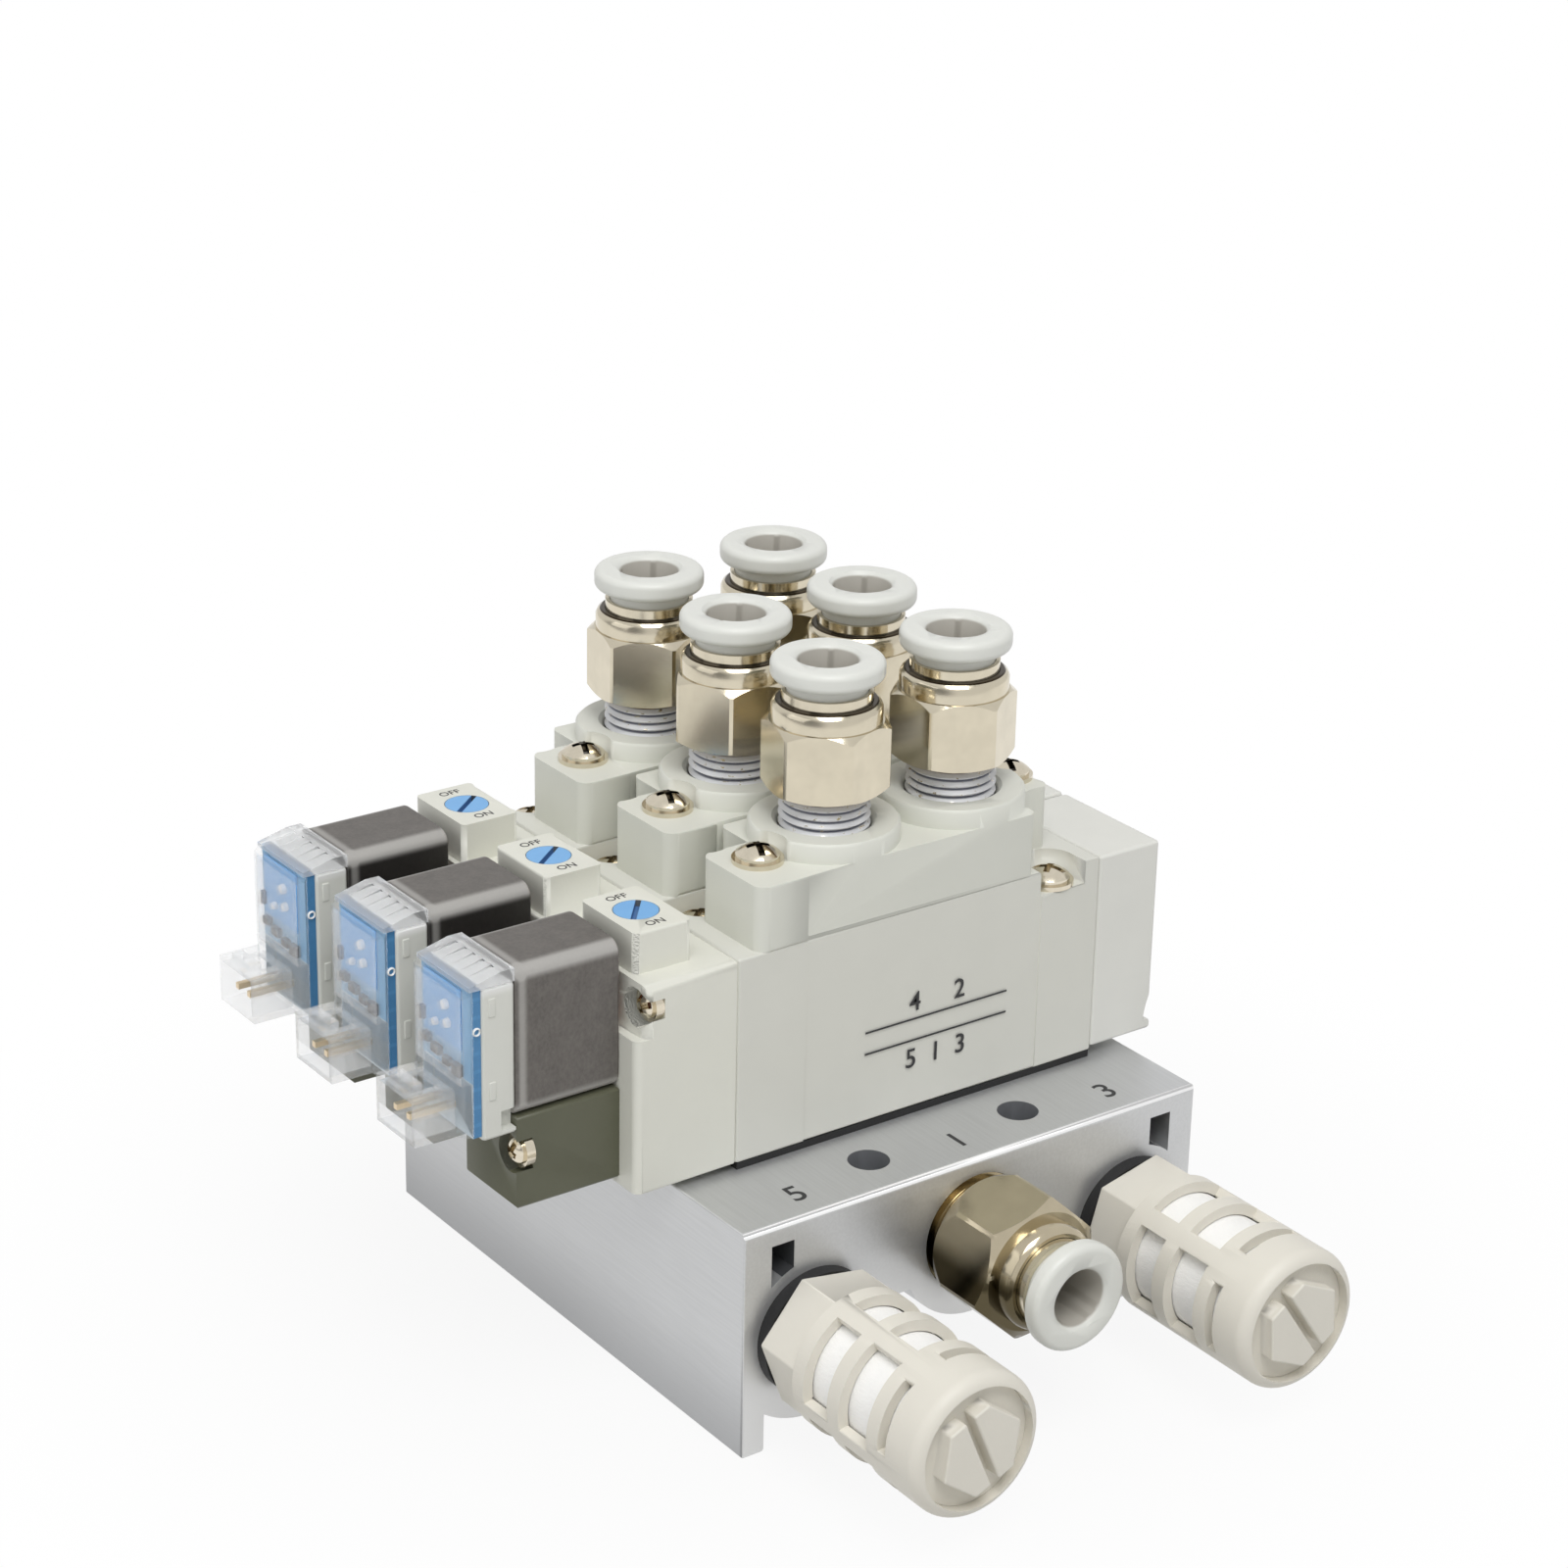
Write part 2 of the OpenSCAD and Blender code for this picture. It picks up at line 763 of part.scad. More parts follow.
module clear_cover(k) {
    z0 = coil_z - 0.75;
    z1 = z0 + socket_h;
    wall = 0.55;
    roof_z = turret_top - 1.4;
    front_y = window_y0;
    socket_y = board_y0 - socket_len;
    sock_w = socket_w / 2;
    color([0.85, 0.88, 0.92, 0.5])
        at_valve(k)
            difference() {
                union() {
                    translate([0, board_y0, z0])
                        linear_extrude(roof_z - z0)
                            window_plan(pw, window_t);
                    translate([-pw, 0, 0])
                        along_x(0, pilot_w)
                            polygon([[coil_y0, roof_z], [coil_y0, turret_top], [coil_y0 - 1.6, turret_top],
                                [front_y + 0.9, roof_z + 0.5], [front_y + 0.9, roof_z]]);
                    span([-sock_w, socket_y, z0], [sock_w, board_y0, z1]);
                    span([-latch_w / 2, socket_y + 0.6, z1 - eps], [latch_w / 2, socket_y + 1.9, z1 + 0.7]);
                }
                span([-pw + wall, board_y0 - 1, z1 + 0.4], [pw - wall, board_y0 + 1, roof_z - 0.8]);
                span([-sock_w + wall, socket_y - 1, z0 + wall], [sock_w - wall, board_y0 - 1.1, z1 - wall]);
                span([-latch_w / 2, socket_y + 1.9, z1 - wall - 1], [latch_w / 2, board_y0 - 2.2, z1 + 2]);
                for (s = [-1, 1])
                    translate([s * pin_pitch / 2, board_y0, pin_z])
                        cube([pin_w + 0.1, 4, pin_w + 0.1], center = true);
                for (i = [0 : 4])
                    translate([(i - 2) * 1.7, (coil_y0 + front_y) / 2 - 1.2, turret_top])
                        rotate([9, 0, 0])
                            cube([0.6, 5.4, 1.3], center = true);
            }
}

module override_knob(k) {
    color([0.36, 0.64, 0.91])
        at_valve(k)
            translate([0, turret_y, turret_top])
                rotate([0, 0, slot_turns[k]])
                    difference() {
                        union() {
                            translate([0, 0, -knob_h])
                                cylinder(r = knob_r, h = knob_h);
                            translate([0, 0, -knob_h - 1.9])
                                cylinder(r = 1.15, h = 2);
                        }
                        translate([-knob_r - 1, -0.3, -0.7])
                            cube([2 * knob_r + 2, 0.6, 2]);
                    }
}

module override_pin(k) {
    color([0.80, 0.81, 0.80])
        at_valve(k)
            translate([0, turret_y, turret_top - knob_h - pin_h])
                difference() {
                    cylinder(r = knob_r, h = pin_h);
                    translate([0, 0, pin_h - 2.1])
                        cylinder(r = 1.2, h = 5);
                }
}

module spool(k) {
    y0 = body_y0 - 1.2;
    len = body_y1 + spool_out - y0;
    land = 3.4;
    color([0.70, 0.71, 0.73])
        at_valve(k)
            translate([0, y0, spool_z])
                rotate([-90, 0, 0])
                    difference() {
                        cylinder(r = spool_r, h = len);
                        for (i = [0 : 3])
                            translate([0, 0, 7.6 + i * 9.4])
                                ring(spool_r + 1, spool_r - 1.2, 9.4 - land);
                    }
}

// taper-thread push-in fitting standing on a port boss
module tube_fittings() {
    stub = thread_show + 6;
    total = hex_h + shoulder_h + stub;
    color([0.80, 0.76, 0.69])
        for (k = [0 : valves - 1])
            at_valve(k)
                for (i = [0, 1])
                    translate([0, i == 0 ? port_a_y : port_b_y, hex_z])
                        difference() {
                            union() {
                                threaded_stub(thread_d / 2, stub, 0.95, 0.55);
                                rotate([0, 0, hex_turns[k][i]])
                                    turned_hex(hex_af, hex_h, 0.4, 0.7);
                                translate([0, 0, hex_h - eps])
                                    push_rim(5.85, shoulder_h + eps);
                            }
                            translate([0, 0, hex_h + shoulder_h])
                                push_bores(total);
                        }
}

module fitting_sleeves() {
    color([0.85, 0.83, 0.78])
        each_valve()
            for (y = [port_a_y, port_b_y])
                translate([0, y, rim_z])
                    push_sleeve();
}

module collar_a(k) {
    at_valve(k)
        translate([0, port_a_y, rim_z])
            push_collar();
}

module collar_b(k) {
    at_valve(k)
        translate([0, port_b_y, rim_z])
            push_collar();
}

// the supply fitting points out of the port end, its own axis along +Z
module supply_fitting() {
    hex_af_big = 14;
    hex_x = 0.8;
    hex_long = 9.6;
    color([0.62, 0.58, 0.50])
        translate([bar_x1, 0, supply_axis])
            to_x()
                difference() {
                    union() {
                        threaded_stub(big_thread_r, big_depth - 0.5, 1.337, 0.8);
                        cylinder(r = big_thread_r - 0.8, h = hex_x + eps);
                        translate([0, 0, hex_x])
                            rotate([0, 0, supply_turn])
                                intersection() {
                                    cylinder(r = hex_af_big / sqrt(3), h = hex_long, $fn = 6);
                                    rotate_extrude()
                                        polygon([[0, 0], [6.5, 0], [7.2, 1.0], [7.95, 2.9],
                                            [7.95, hex_long - 0.9], [6.7, hex_long], [0, hex_long]]);
                                }
                        translate([0, 0, hex_x + hex_long - eps])
                            push_rim(5.85, supply_rim - hex_x - hex_long + eps);
                    }
                    translate([0, 0, supply_rim])
                        push_bores(supply_rim + big_depth);
                }
}

module supply_sleeve() {
    color([0.85, 0.83, 0.78])
        translate([bar_x1 + supply_rim, 0, supply_axis])
            to_x()
                push_sleeve();
}

module supply_collar() {
    translate([bar_x1 + supply_rim, 0, supply_axis])
        to_x()
            push_collar();
}

// puts a silencer part at both exhaust ports, its own axis along +Z, each with its own turn
module at_exhausts(turns) {
    for (i = [0, 1])
        translate([bar_x1, valve_side(i) * exhaust_y, exhaust_axis])
            to_x()
                rotate([0, 0, turns[i]])
                    children();
}

// a wedge of the ring round the axis, from one rib to the next
module wedge(a, w, z0, h) {
    translate([0, 0, z0])
        rotate_extrude(angle = w, start = a)
            translate([cage_r - 3, 0])
                square([6, h]);
}

module silencer_bodies() {
    soft = 1.5;
    color([0.84, 0.81, 0.76])
        at_exhausts(silencer_turns)
            difference() {
                union() {
                    threaded_stub(big_thread_r, big_depth - 0.5, 1.337, 0.8);
                    cylinder(r = big_thread_r - 0.8, h = washer_t + eps);
                    translate([0, 0, washer_t])
                        cylinder(r = silencer_af / sqrt(3), h = hex_end - washer_t, $fn = 6);
                    rotate_extrude() {
                        translate([0, hex_end - eps])
                            square([cage_r, silencer_len - hex_end - soft + eps]);
                        translate([0, silencer_len - soft - eps])
                            square([cage_r - soft, soft + eps]);
                        translate([cage_r - soft, silencer_len - soft])
                            circle(soft);
                    }
                }
                translate([0, 0, -big_depth - 1])
                    cylinder(r = stub_in_r, h = 30);
                translate([0, 0, hex_end])
                    cylinder(r = cage_r - cage_wall, h = 30);
                for (q = [0 : 3]) {
                    for (row = rows)
                        wedge(q * 90 + rib_angle / 2, 90 - rib_angle, row[0], row[1]);
                    wedge(q * 90 + 16, 58, slot_row[0], slot_row[1]);
                }
            }
}

module silencer_elements() {
    color([0.97, 0.97, 0.96])
        at_exhausts(silencer_turns)
            translate([0, 0, hex_end])
                ring(cage_r - cage_wall - 0.15, stub_in_r + 0.2, plug_z - hex_end);
}

module silencer_caps() {
    boss_af = 8.8;
    color([0.84, 0.82, 0.78])
        at_exhausts(cap_turns)
            translate([0, 0, plug_z])
                difference() {
                    union() {
                        cylinder(r = cage_r - cage_wall - 0.03, h = plug_t);
                        translate([0, 0, plug_t - eps])
                            cylinder(r = boss_af / sqrt(3), h = boss_t + eps, $fn = 6);
                    }
                    translate([-0.5, -boss_af, plug_t])
                        cube([1, 2 * boss_af, 5]);
                }
}

module port_washers() {
    color([0.05, 0.05, 0.05])
        at_exhausts(silencer_turns)
            ring(silencer_af / 2 + 0.2, big_thread_r + 0.05, washer_t);
}

module gallery_plugs() {
    color([0.70, 0.69, 0.66])
        for (p = galleries)
            translate([bar_x0 + 0.5, p[0], p[1]])
                to_x()
                    difference() {
                        cylinder(r = big_thread_r, h = big_depth - 0.5);
                        translate([0, 0, -1])
                            cylinder(r = key_af / sqrt(3), h = key_deep + 1, $fn = 6);
                    }
}

manifold_base();
gaskets();
port_seals();
valve_screws();
pilot_screws();
gallery_plugs();
supply_fitting();
supply_sleeve();
supply_collar();
silencer_bodies();
silencer_elements();
silencer_caps();
port_washers();
tube_fittings();
fitting_sleeves();
coils();
end_caps();
pilot_bases();
valve_body(0);  // valve_body_1
port_block(0);  // port_block_1
pilot_housing(0);  // pilot_housing_1
coil_cover(0);  // coil_cover_1
connector_frame(0);  // connector_frame_1
clear_cover(0);  // clear_cover_1
circuit_board(0);  // circuit_board_1
override_knob(0);  // override_knob_1
override_pin(0);  // override_pin_1
spool(0);  // spool_1
armature(0);  // armature_1
collar_a(0);  // collar_a_1
collar_b(0);  // collar_b_1
valve_body(1);  // valve_body_2
port_block(1);  // port_block_2
pilot_housing(1);  // pilot_housing_2
coil_cover(1);  // coil_cover_2
connector_frame(1);  // connector_frame_2
clear_cover(1);  // clear_cover_2
circuit_board(1);  // circuit_board_2
override_knob(1);  // override_knob_2
override_pin(1);  // override_pin_2
spool(1);  // spool_2
armature(1);  // armature_2
collar_a(1);  // collar_a_2
collar_b(1);  // collar_b_2
valve_body(2);  // valve_body_3
port_block(2);  // port_block_3
pilot_housing(2);  // pilot_housing_3
coil_cover(2);  // coil_cover_3
connector_frame(2);  // connector_frame_3
clear_cover(2);  // clear_cover_3
circuit_board(2);  // circuit_board_3
override_knob(2);  // override_knob_3
override_pin(2);  // override_pin_3
spool(2);  // spool_3
armature(2);  // armature_3
collar_a(2);  // collar_a_3
collar_b(2);  // collar_b_3
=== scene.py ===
import json
import math

import bmesh
import bpy
from mathutils import Matrix, Vector


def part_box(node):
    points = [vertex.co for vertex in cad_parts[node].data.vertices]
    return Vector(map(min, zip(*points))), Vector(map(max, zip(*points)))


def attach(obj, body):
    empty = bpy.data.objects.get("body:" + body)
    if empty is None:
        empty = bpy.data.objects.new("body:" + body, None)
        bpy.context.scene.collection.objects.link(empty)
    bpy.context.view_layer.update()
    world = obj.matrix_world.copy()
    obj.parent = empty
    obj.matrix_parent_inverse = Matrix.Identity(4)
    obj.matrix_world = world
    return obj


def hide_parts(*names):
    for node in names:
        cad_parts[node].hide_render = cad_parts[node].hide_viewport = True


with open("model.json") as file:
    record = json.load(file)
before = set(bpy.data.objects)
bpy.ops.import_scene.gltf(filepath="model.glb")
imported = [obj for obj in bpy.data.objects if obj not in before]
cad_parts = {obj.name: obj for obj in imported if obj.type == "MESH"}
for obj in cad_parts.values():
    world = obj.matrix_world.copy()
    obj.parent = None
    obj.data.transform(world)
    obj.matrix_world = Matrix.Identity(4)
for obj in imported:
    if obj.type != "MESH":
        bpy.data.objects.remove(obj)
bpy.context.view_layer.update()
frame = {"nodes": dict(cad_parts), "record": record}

MM = 0.001
BODY = "manifold"
VALVES = (1, 2, 3)
COLLARS = ["supply_collar"] + [f"collar_{port}_{k}" for port in "ab" for k in VALVES]


# Places taken from the frame

def low(node):
    return Vector(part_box(node)[0])


def high(node):
    return Vector(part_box(node)[1])


def middle(node):
    return (low(node) + high(node)) / 2


bar_low, bar_high = low("manifold_base"), high("manifold_base")

# Sizes of the solids that a finish follows, in mm
BORE_MM = 3.05                       # radius of the collars' bore
KNOB_BORE_MM = 2.5                   # radius of the gap round a knob
HEX_MM = 9.7                         # what stands above a port fitting's thread
BARE_RING_MM = 0.7                   # bare metal between the hexagon and the sealant
THREAD_PITCH_MM = 0.95
SOCKET_MM = 5.2                      # reach of the plug socket, from the clear cover's end
BOARD_MM, BOARD_HALF_MM = 1.0, 4.75  # the board's thickness and half its width
BOLT_X_MM, BOLT_Y_MM = 29.25, 10.0   # the bar's bolt holes, from its middle
BOLT_HOLE_MM = 2.26                  # their radius
SLOT_FROM_SIDE_MM = (4.75, 7.65)     # the bar's slots, inwards from its sides
SLOT_Z_MM = (-7.55, -2.25)           # and their floor and roof
NEAR_MM = 0.05                       # a point this near to a face counts as on it


# Materials

class Value:
    """One output of a shader node. Python arithmetic on it adds Math nodes."""

    def __init__(self, graph, socket):
        self.graph = graph
        self.socket = socket

    def math(self, operation, other=0.0, swap=False):
        first, second = (other, self) if swap else (self, other)
        return self.graph.node("ShaderNodeMath", {"operation": operation}, {0: first, 1: second})

    def __add__(self, other):
        return self.math("ADD", other)

    def __sub__(self, other):
        return self.math("SUBTRACT", other)

    def __rsub__(self, other):
        return self.math("SUBTRACT", other, swap=True)

    def __mul__(self, other):
        return self.math("MULTIPLY", other)

    def __truediv__(self, other):
        return self.math("DIVIDE", other)

    def above(self, edge):
        return self.math("GREATER_THAN", edge)

    def below(self, edge):
        return self.math("LESS_THAN", edge)

    def size(self):
        return self.math("ABSOLUTE")

    def wave(self):
        """A sine of this value, from 0 to 1."""
        return self.math("SINE") * 0.5 + 0.5

    def smooth(self, start, end):
        """0 up to start, 1 from end on, soft in between."""
        settings = {"interpolation_type": "SMOOTHSTEP"}
        sockets = {"Value": self, "From Min": start, "From Max": end}
        return self.graph.node("ShaderNodeMapRange", settings, sockets)

    __radd__ = __add__
    __rmul__ = __mul__


def linear(colour):
    """A colour written as 0 to 255 display values, as the linear values that a shader takes."""
    parts = [c / 255 for c in colour]
    return [p / 12.92 if p <= 0.04045 else ((p + 0.055) / 1.055) ** 2.4 for p in parts] + [1.0]


def from_axis(across, along):
    """How far a point lies from an axis, from its two offsets to it."""
    return (across * across + along * along).math("SQRT")


class Graph:
    """The nodes of one material or world."""

    def __init__(self, owner):
        owner.use_nodes = True
        self.tree = owner.node_tree
        self.tree.nodes.clear()

    def node(self, kind, settings=None, sockets=None, output=0):
        """A node of that type: its settings first, then the values or links of its sockets."""
        node = self.tree.nodes.new(kind)
        for key, value in (settings or {}).items():
            setattr(node, key, value)
        for key, value in (sockets or {}).items():
            if isinstance(value, Value):
                self.tree.links.new(value.socket, node.inputs[key])
            else:
                node.inputs[key].default_value = value
        return Value(self, node.outputs[output]) if node.outputs else None

    def part(self, vector, letter):
        """X, Y or Z of a vector."""
        return self.node("ShaderNodeSeparateXYZ", {}, {0: vector}, output=letter)

    def direct(self):
        """1 on the rays that show a thing to the camera, straight, in a gloss or through clear plastic, and
        0 on those that only light."""
        camera, glossy, clear = [self.ray(kind) for kind in ("Camera", "Glossy", "Transmission")]
        return camera.math("MAXIMUM", glossy).math("MAXIMUM", clear)

    def ray(self, kind):
        return self.node("ShaderNodeLightPath", output=f"Is {kind} Ray")


class Paint(Graph):
    """A material: one Principled shader and the nodes that feed it."""

    def __init__(self, name, colour, roughness, metallic=0.0, **constants):
        self.material = bpy.data.materials.new(name)
        super().__init__(self.material)
        self.shader = self.tree.nodes.new("ShaderNodeBsdfPrincipled")
        out = self.tree.nodes.new("ShaderNodeOutputMaterial")
        self.tree.links.new(self.shader.outputs[0], out.inputs["Surface"])
        self.colour = linear(colour)
        self.roughness = roughness
        self.feed("Base Color", self.colour)
        self.feed("Roughness", roughness)
        self.feed("Metallic", metallic)
        for socket, value in constants.items():
            self.feed(socket.replace("_", " "), value)

    def feed(self, socket, value):
        if isinstance(value, Value):
            self.tree.links.new(value.socket, self.shader.inputs[socket])
        else:
            self.shader.inputs[socket].default_value = value

    def place(self):
        """The point on the object, in metres in the row frame."""
        return self.node("ShaderNodeTexCoord", output="Object")

    def axes(self, letters):
        """Those of X, Y and Z of that point, in millimetres."""
        sockets = {0: self.place(), "Scale": 1 / MM}
        point = self.node("ShaderNodeVectorMath", {"operation": "SCALE"}, sockets)
        return [self.part(point, letter) for letter in letters]

    def noise(self, per_mm, stretch=(1.0, 1.0, 1.0), detail=3.0, rough=0.55):
        """Noise of that many grains a millimetre, finer along the axes with a larger stretch."""
        scale = [s * per_mm / MM for s in stretch]
        point = self.node("ShaderNodeMapping", {}, {"Vector": self.place(), "Scale": scale})
        sockets = {"Vector": point, "Scale": 1.0, "Detail": detail, "Roughness": rough}
        return self.node("ShaderNodeTexNoise", {}, sockets)

    def blend(self, factor, first, second):
        """A colour from first, at factor 0, to second, at factor 1."""
        settings = {"data_type": "RGBA"}
        return self.node("ShaderNodeMix", settings, {0: factor, 6: first, 7: second}, output=2)

    def vary(self, amount, grain):
        """The paint's own colour, made lighter and darker with the grain."""
        dark = [c * (1 - amount) for c in self.colour[:3]] + [1.0]
        light = [min(1.0, c * (1 + amount)) for c in self.colour[:3]] + [1.0]
        return self.blend(grain, dark, light)

    def bump(self, height, depth_mm, strength=1.0):
        sockets = {"Height": height, "Distance": depth_mm * MM, "Strength": strength}
        self.feed("Normal", self.node("ShaderNodeBump", {}, sockets))

    def moulded_skin(self, depth_mm, relief=0.0):
        """The fine skin that a mould leaves, in the gloss and the surface, with a relief on top."""
        skin = self.noise(4.0, detail=2.0)
        self.feed("Roughness", skin * 0.12 + (self.roughness - 0.06))
        self.bump(skin + relief, depth_mm, 0.5)


def brushed_aluminium():
    """Satin aluminium with streaks along the bar. Painted shade darkens the side towards the foot, painted
    light makes the lower part of the sawn end paler, a painted highlight runs along its top edge, and
    painted shade darkens the bolt holes and the inside of the slots."""
    paint = Paint("brushed_aluminium", (207, 208, 209), 0.4, metallic=0.75)
    streaks = paint.noise(3.0, stretch=(0.04, 1.0, 1.0), detail=4.0)
    clouds = paint.noise(0.1, detail=2.0)
    skin = paint.vary(0.06, streaks.smooth(0.3, 0.7) * 0.6 + clouds * 0.4)
    x, y, z = paint.axes("XYZ")
    first, last = bar_low / MM, bar_high / MM
    # Painted shade on the side towards the foot.
    painted_shade_foot = (1 - z.smooth(first.z - 2.0, -13.0)) * y.below(first.y + 0.3)
    # Painted light on the lower part of the sawn end.
    painted_light_end = x.above(last.x - NEAR_MM) * (1 - z.smooth(-16.0, -4.0))
    # Painted shade down the bolt holes.
    from_bolt = from_axis(x.size() - BOLT_X_MM, y.size() - BOLT_Y_MM)
    bolt_hole = from_bolt.below(BOLT_HOLE_MM) * z.below(-NEAR_MM)
    # Painted shade inside the slots.
    inwards = last.y - y.size()
    slot = inwards.above(SLOT_FROM_SIDE_MM[0]) * inwards.below(SLOT_FROM_SIDE_MM[1])
    slot = slot * z.above(SLOT_Z_MM[0]) * z.below(SLOT_Z_MM[1])
    slot = slot * x.below(last.x - NEAR_MM) * x.above(first.x + NEAR_MM)
    # Painted highlight along the top edge of the sawn end.
    painted_highlight_edge = (x + z - last.x).above(-0.6)
    tones = ((painted_shade_foot * 0.65, (150, 151, 153)), (painted_light_end * 0.8, (222, 222, 221)),
             (bolt_hole, (176, 178, 182)), (slot, (112, 114, 117)), (painted_highlight_edge, (252, 252, 252)))
    for where, colour in tones:
        skin = paint.blend(where, skin, linear(colour))
    paint.feed("Base Color", skin)
    paint.feed("Roughness", streaks * 0.2 + 0.32)
    paint.bump(streaks, 0.01, 0.5)
    return paint.material


def painted_casting(name, colour):
    paint = Paint(name, colour, 0.42, Specular_IOR_Level=0.4)
    peel = paint.noise(1.6, detail=2.0)
    paint.feed("Base Color", paint.vary(0.03, paint.noise(0.15, detail=2.0)))
    paint.feed("Roughness", peel * 0.14 + 0.38)
    paint.bump(peel, 0.015, 0.5)
    return paint.material


def moulded_plastic(name, colour, roughness=0.4, grain_mm=0.02):
    paint = Paint(name, colour, roughness, Specular_IOR_Level=0.4)
    paint.feed("Base Color", paint.vary(0.03, paint.noise(0.2, detail=2.0)))
    paint.moulded_skin(grain_mm)
    return paint.material


def collar_plastic(node):
    """White collar plastic, with painted shade down the bore."""
    paint = Paint(f"{node}_white", (226, 227, 221), 0.34, Specular_IOR_Level=0.4)
    centre = middle(node) / MM
    letter, start = ("Z", centre.z) if node == "supply_collar" else ("X", centre.x)
    across, along = paint.axes(letter + "Y")
    # Painted shade down the bore.
    bore = 1 - from_axis(across - start, along - centre.y).smooth(BORE_MM + 0.05, BORE_MM + 0.3)
    paint.feed("Base Color", paint.blend(bore, paint.vary(0.03, paint.noise(0.3)), linear((178, 174, 165))))
    paint.moulded_skin(0.008)
    return paint.material


def solenoid_grey(k):
    """Dark grey metal skin with a mottled grain and painted highlights on its edges. Where it faces the next
    solenoid it is painted nearly black, a painted shade."""
    node = f"coil_cover_{k}"
    paint = Paint(f"solenoid_grey_{k}", (103, 99, 95), 0.42, metallic=0.2)
    grain = paint.noise(2.4, stretch=(1.0, 1.0, 0.7), detail=4.0, rough=0.7)
    clouds = paint.noise(0.5, detail=3.0)
    centre, half = middle(node) / MM, (high(node) - low(node)) / 2 / MM
    x, y, z = paint.axes("XYZ")
    side = (x - centre.x).size().smooth(half.x - 1.7, half.x - 0.3)
    top = (z - centre.z).size().smooth(half.z - 1.7, half.z - 0.3)
    depth = y - low(node).y / MM
    rim = depth.smooth(0.2, 0.7) * (1 - depth.smooth(0.9, 1.6))
    # Painted highlight on the long edges and on a rim near one end.
    painted_edge_highlight = (side * top * 1.8 + rim * 0.75).math("MINIMUM", 1.0)
    # Painted shade on the faces that look onto the next solenoid.
    gap_shade = 0.0
    for neighbour, outwards in ((k - 1, x - centre.x), (k + 1, centre.x - x)):
        if neighbour in VALVES:
            gap_shade = gap_shade + outwards.smooth(half.x - 0.4, half.x - 0.05)
    skin = paint.vary(0.2, grain.smooth(0.32, 0.68) * 0.65 + clouds.smooth(0.3, 0.7) * 0.35)
    skin = paint.blend(gap_shade * 0.85, skin, linear((22, 20, 19)))
    paint.feed("Base Color", paint.blend(painted_edge_highlight * 0.6, skin, linear((204, 202, 198))))
    paint.feed("Roughness", grain * 0.2 + 0.36)
    paint.bump(grain, 0.04, 0.8)
    return paint.material


def housing_plastic(k):
    """Ivory plastic, with painted shade down the narrow ring round the knob."""
    paint = Paint(f"housing_ivory_{k}", (227, 227, 217), 0.4, Specular_IOR_Level=0.4)
    knob, turret_top = middle(f"override_knob_{k}") / MM, high(f"pilot_housing_{k}").z / MM
    x, y, z = paint.axes("XYZ")
    # Painted shade down the ring round the knob.
    bore = from_axis(x - knob.x, y - knob.y).below(KNOB_BORE_MM) * z.below(turret_top - 0.02)
    paint.feed("Base Color", paint.blend(bore, paint.vary(0.03, paint.noise(0.2)), linear((66, 74, 84))))
    paint.moulded_skin(0.02)
    return paint.material


def frame_plastic():
    """White plastic with painted light on top, in stripes along its ribs, which show through the clear roof.
    """
    ribs_per_mm = 0.7
    paint = Paint("frame_white", (219, 220, 213), 0.4, Specular_IOR_Level=0.4)
    top = high("connector_frame_1").z / MM
    x, z = paint.axes("XZ")
    # Painted light on the top under the clear roof, striped along the ribs.
    roof = z.smooth(top - 1.2, top - 0.1)
    ribs = (x * ribs_per_mm * math.tau).wave() * roof
    shade = paint.blend(ribs, linear((255, 255, 254)), linear((232, 233, 231)))
    paint.feed("Base Color", paint.blend(roof, paint.vary(0.03, paint.noise(0.2)), shade))
    paint.moulded_skin(0.02, relief=ribs * 3.0)
    return paint.material


def olive_plastic():
    paint = Paint("olive_plastic", (90, 91, 73), 0.4)
    skin = paint.noise(3.0, detail=2.0)
    paint.feed("Base Color", paint.vary(0.06, paint.noise(0.3)))
    paint.feed("Roughness", skin * 0.15 + 0.34)
    paint.bump(skin, 0.02, 0.5)
    return paint.material


def nickel(name="nickel", colour=(214, 205, 184), thread_top=None, painted_shade_below=None):
    """Nickel-plated brass with fine tool marks. Below thread_top the thread wears white sealant, with
    painted shade in its grooves, and a painted shadow rings the top. Below a given height the metal is
    painted darker, a painted shade; both heights in mm."""
    paint = Paint(name, colour, 0.22, metallic=1.0)
    marks = paint.noise(6.0, stretch=(0.4, 0.4, 3.0), detail=3.0)
    metal = paint.vary(0.12, paint.noise(0.35, detail=2.0))
    polish = marks * 0.12 + 0.1
    [z] = paint.axes("Z")
    # Painted shade, darker below the given height.
    if painted_shade_below:
        metal = paint.blend(1 - z.smooth(painted_shade_below, painted_shade_below + 3.0), metal, linear((92, 84, 64)))
    if thread_top:
        bare = z.below(thread_top) * z.above(thread_top - BARE_RING_MM)
        metal = paint.blend(bare, metal, linear((132, 104, 70)))
        patches = paint.noise(1.2, stretch=(1, 1, 2.5), detail=4.0).smooth(0.3, 0.4)
        sealed = z.below(thread_top - BARE_RING_MM) * patches
        # Painted shade in the grooves of the thread.
        groove_shade = (((z - thread_top) / THREAD_PITCH_MM + 0.6) * math.tau).math("COSINE").smooth(0.2, 0.95)
        sealant = paint.blend(groove_shade, linear((232, 233, 236)), linear((122, 124, 136)))
        metal = paint.blend(sealed, metal, sealant)
        # Painted shadow in a thin ring at the very top, under the collar.
        mouth_shadow = z.above(thread_top + HEX_MM - 0.12)
        metal = paint.blend(mouth_shadow, metal, linear((62, 52, 38)))
        paint.feed("Metallic", 1 - sealed)
        polish = polish + sealed * 0.3
    paint.feed("Base Color", metal)
    paint.feed("Roughness", polish)
    paint.bump(marks, 0.004, 0.4)
    return paint.material


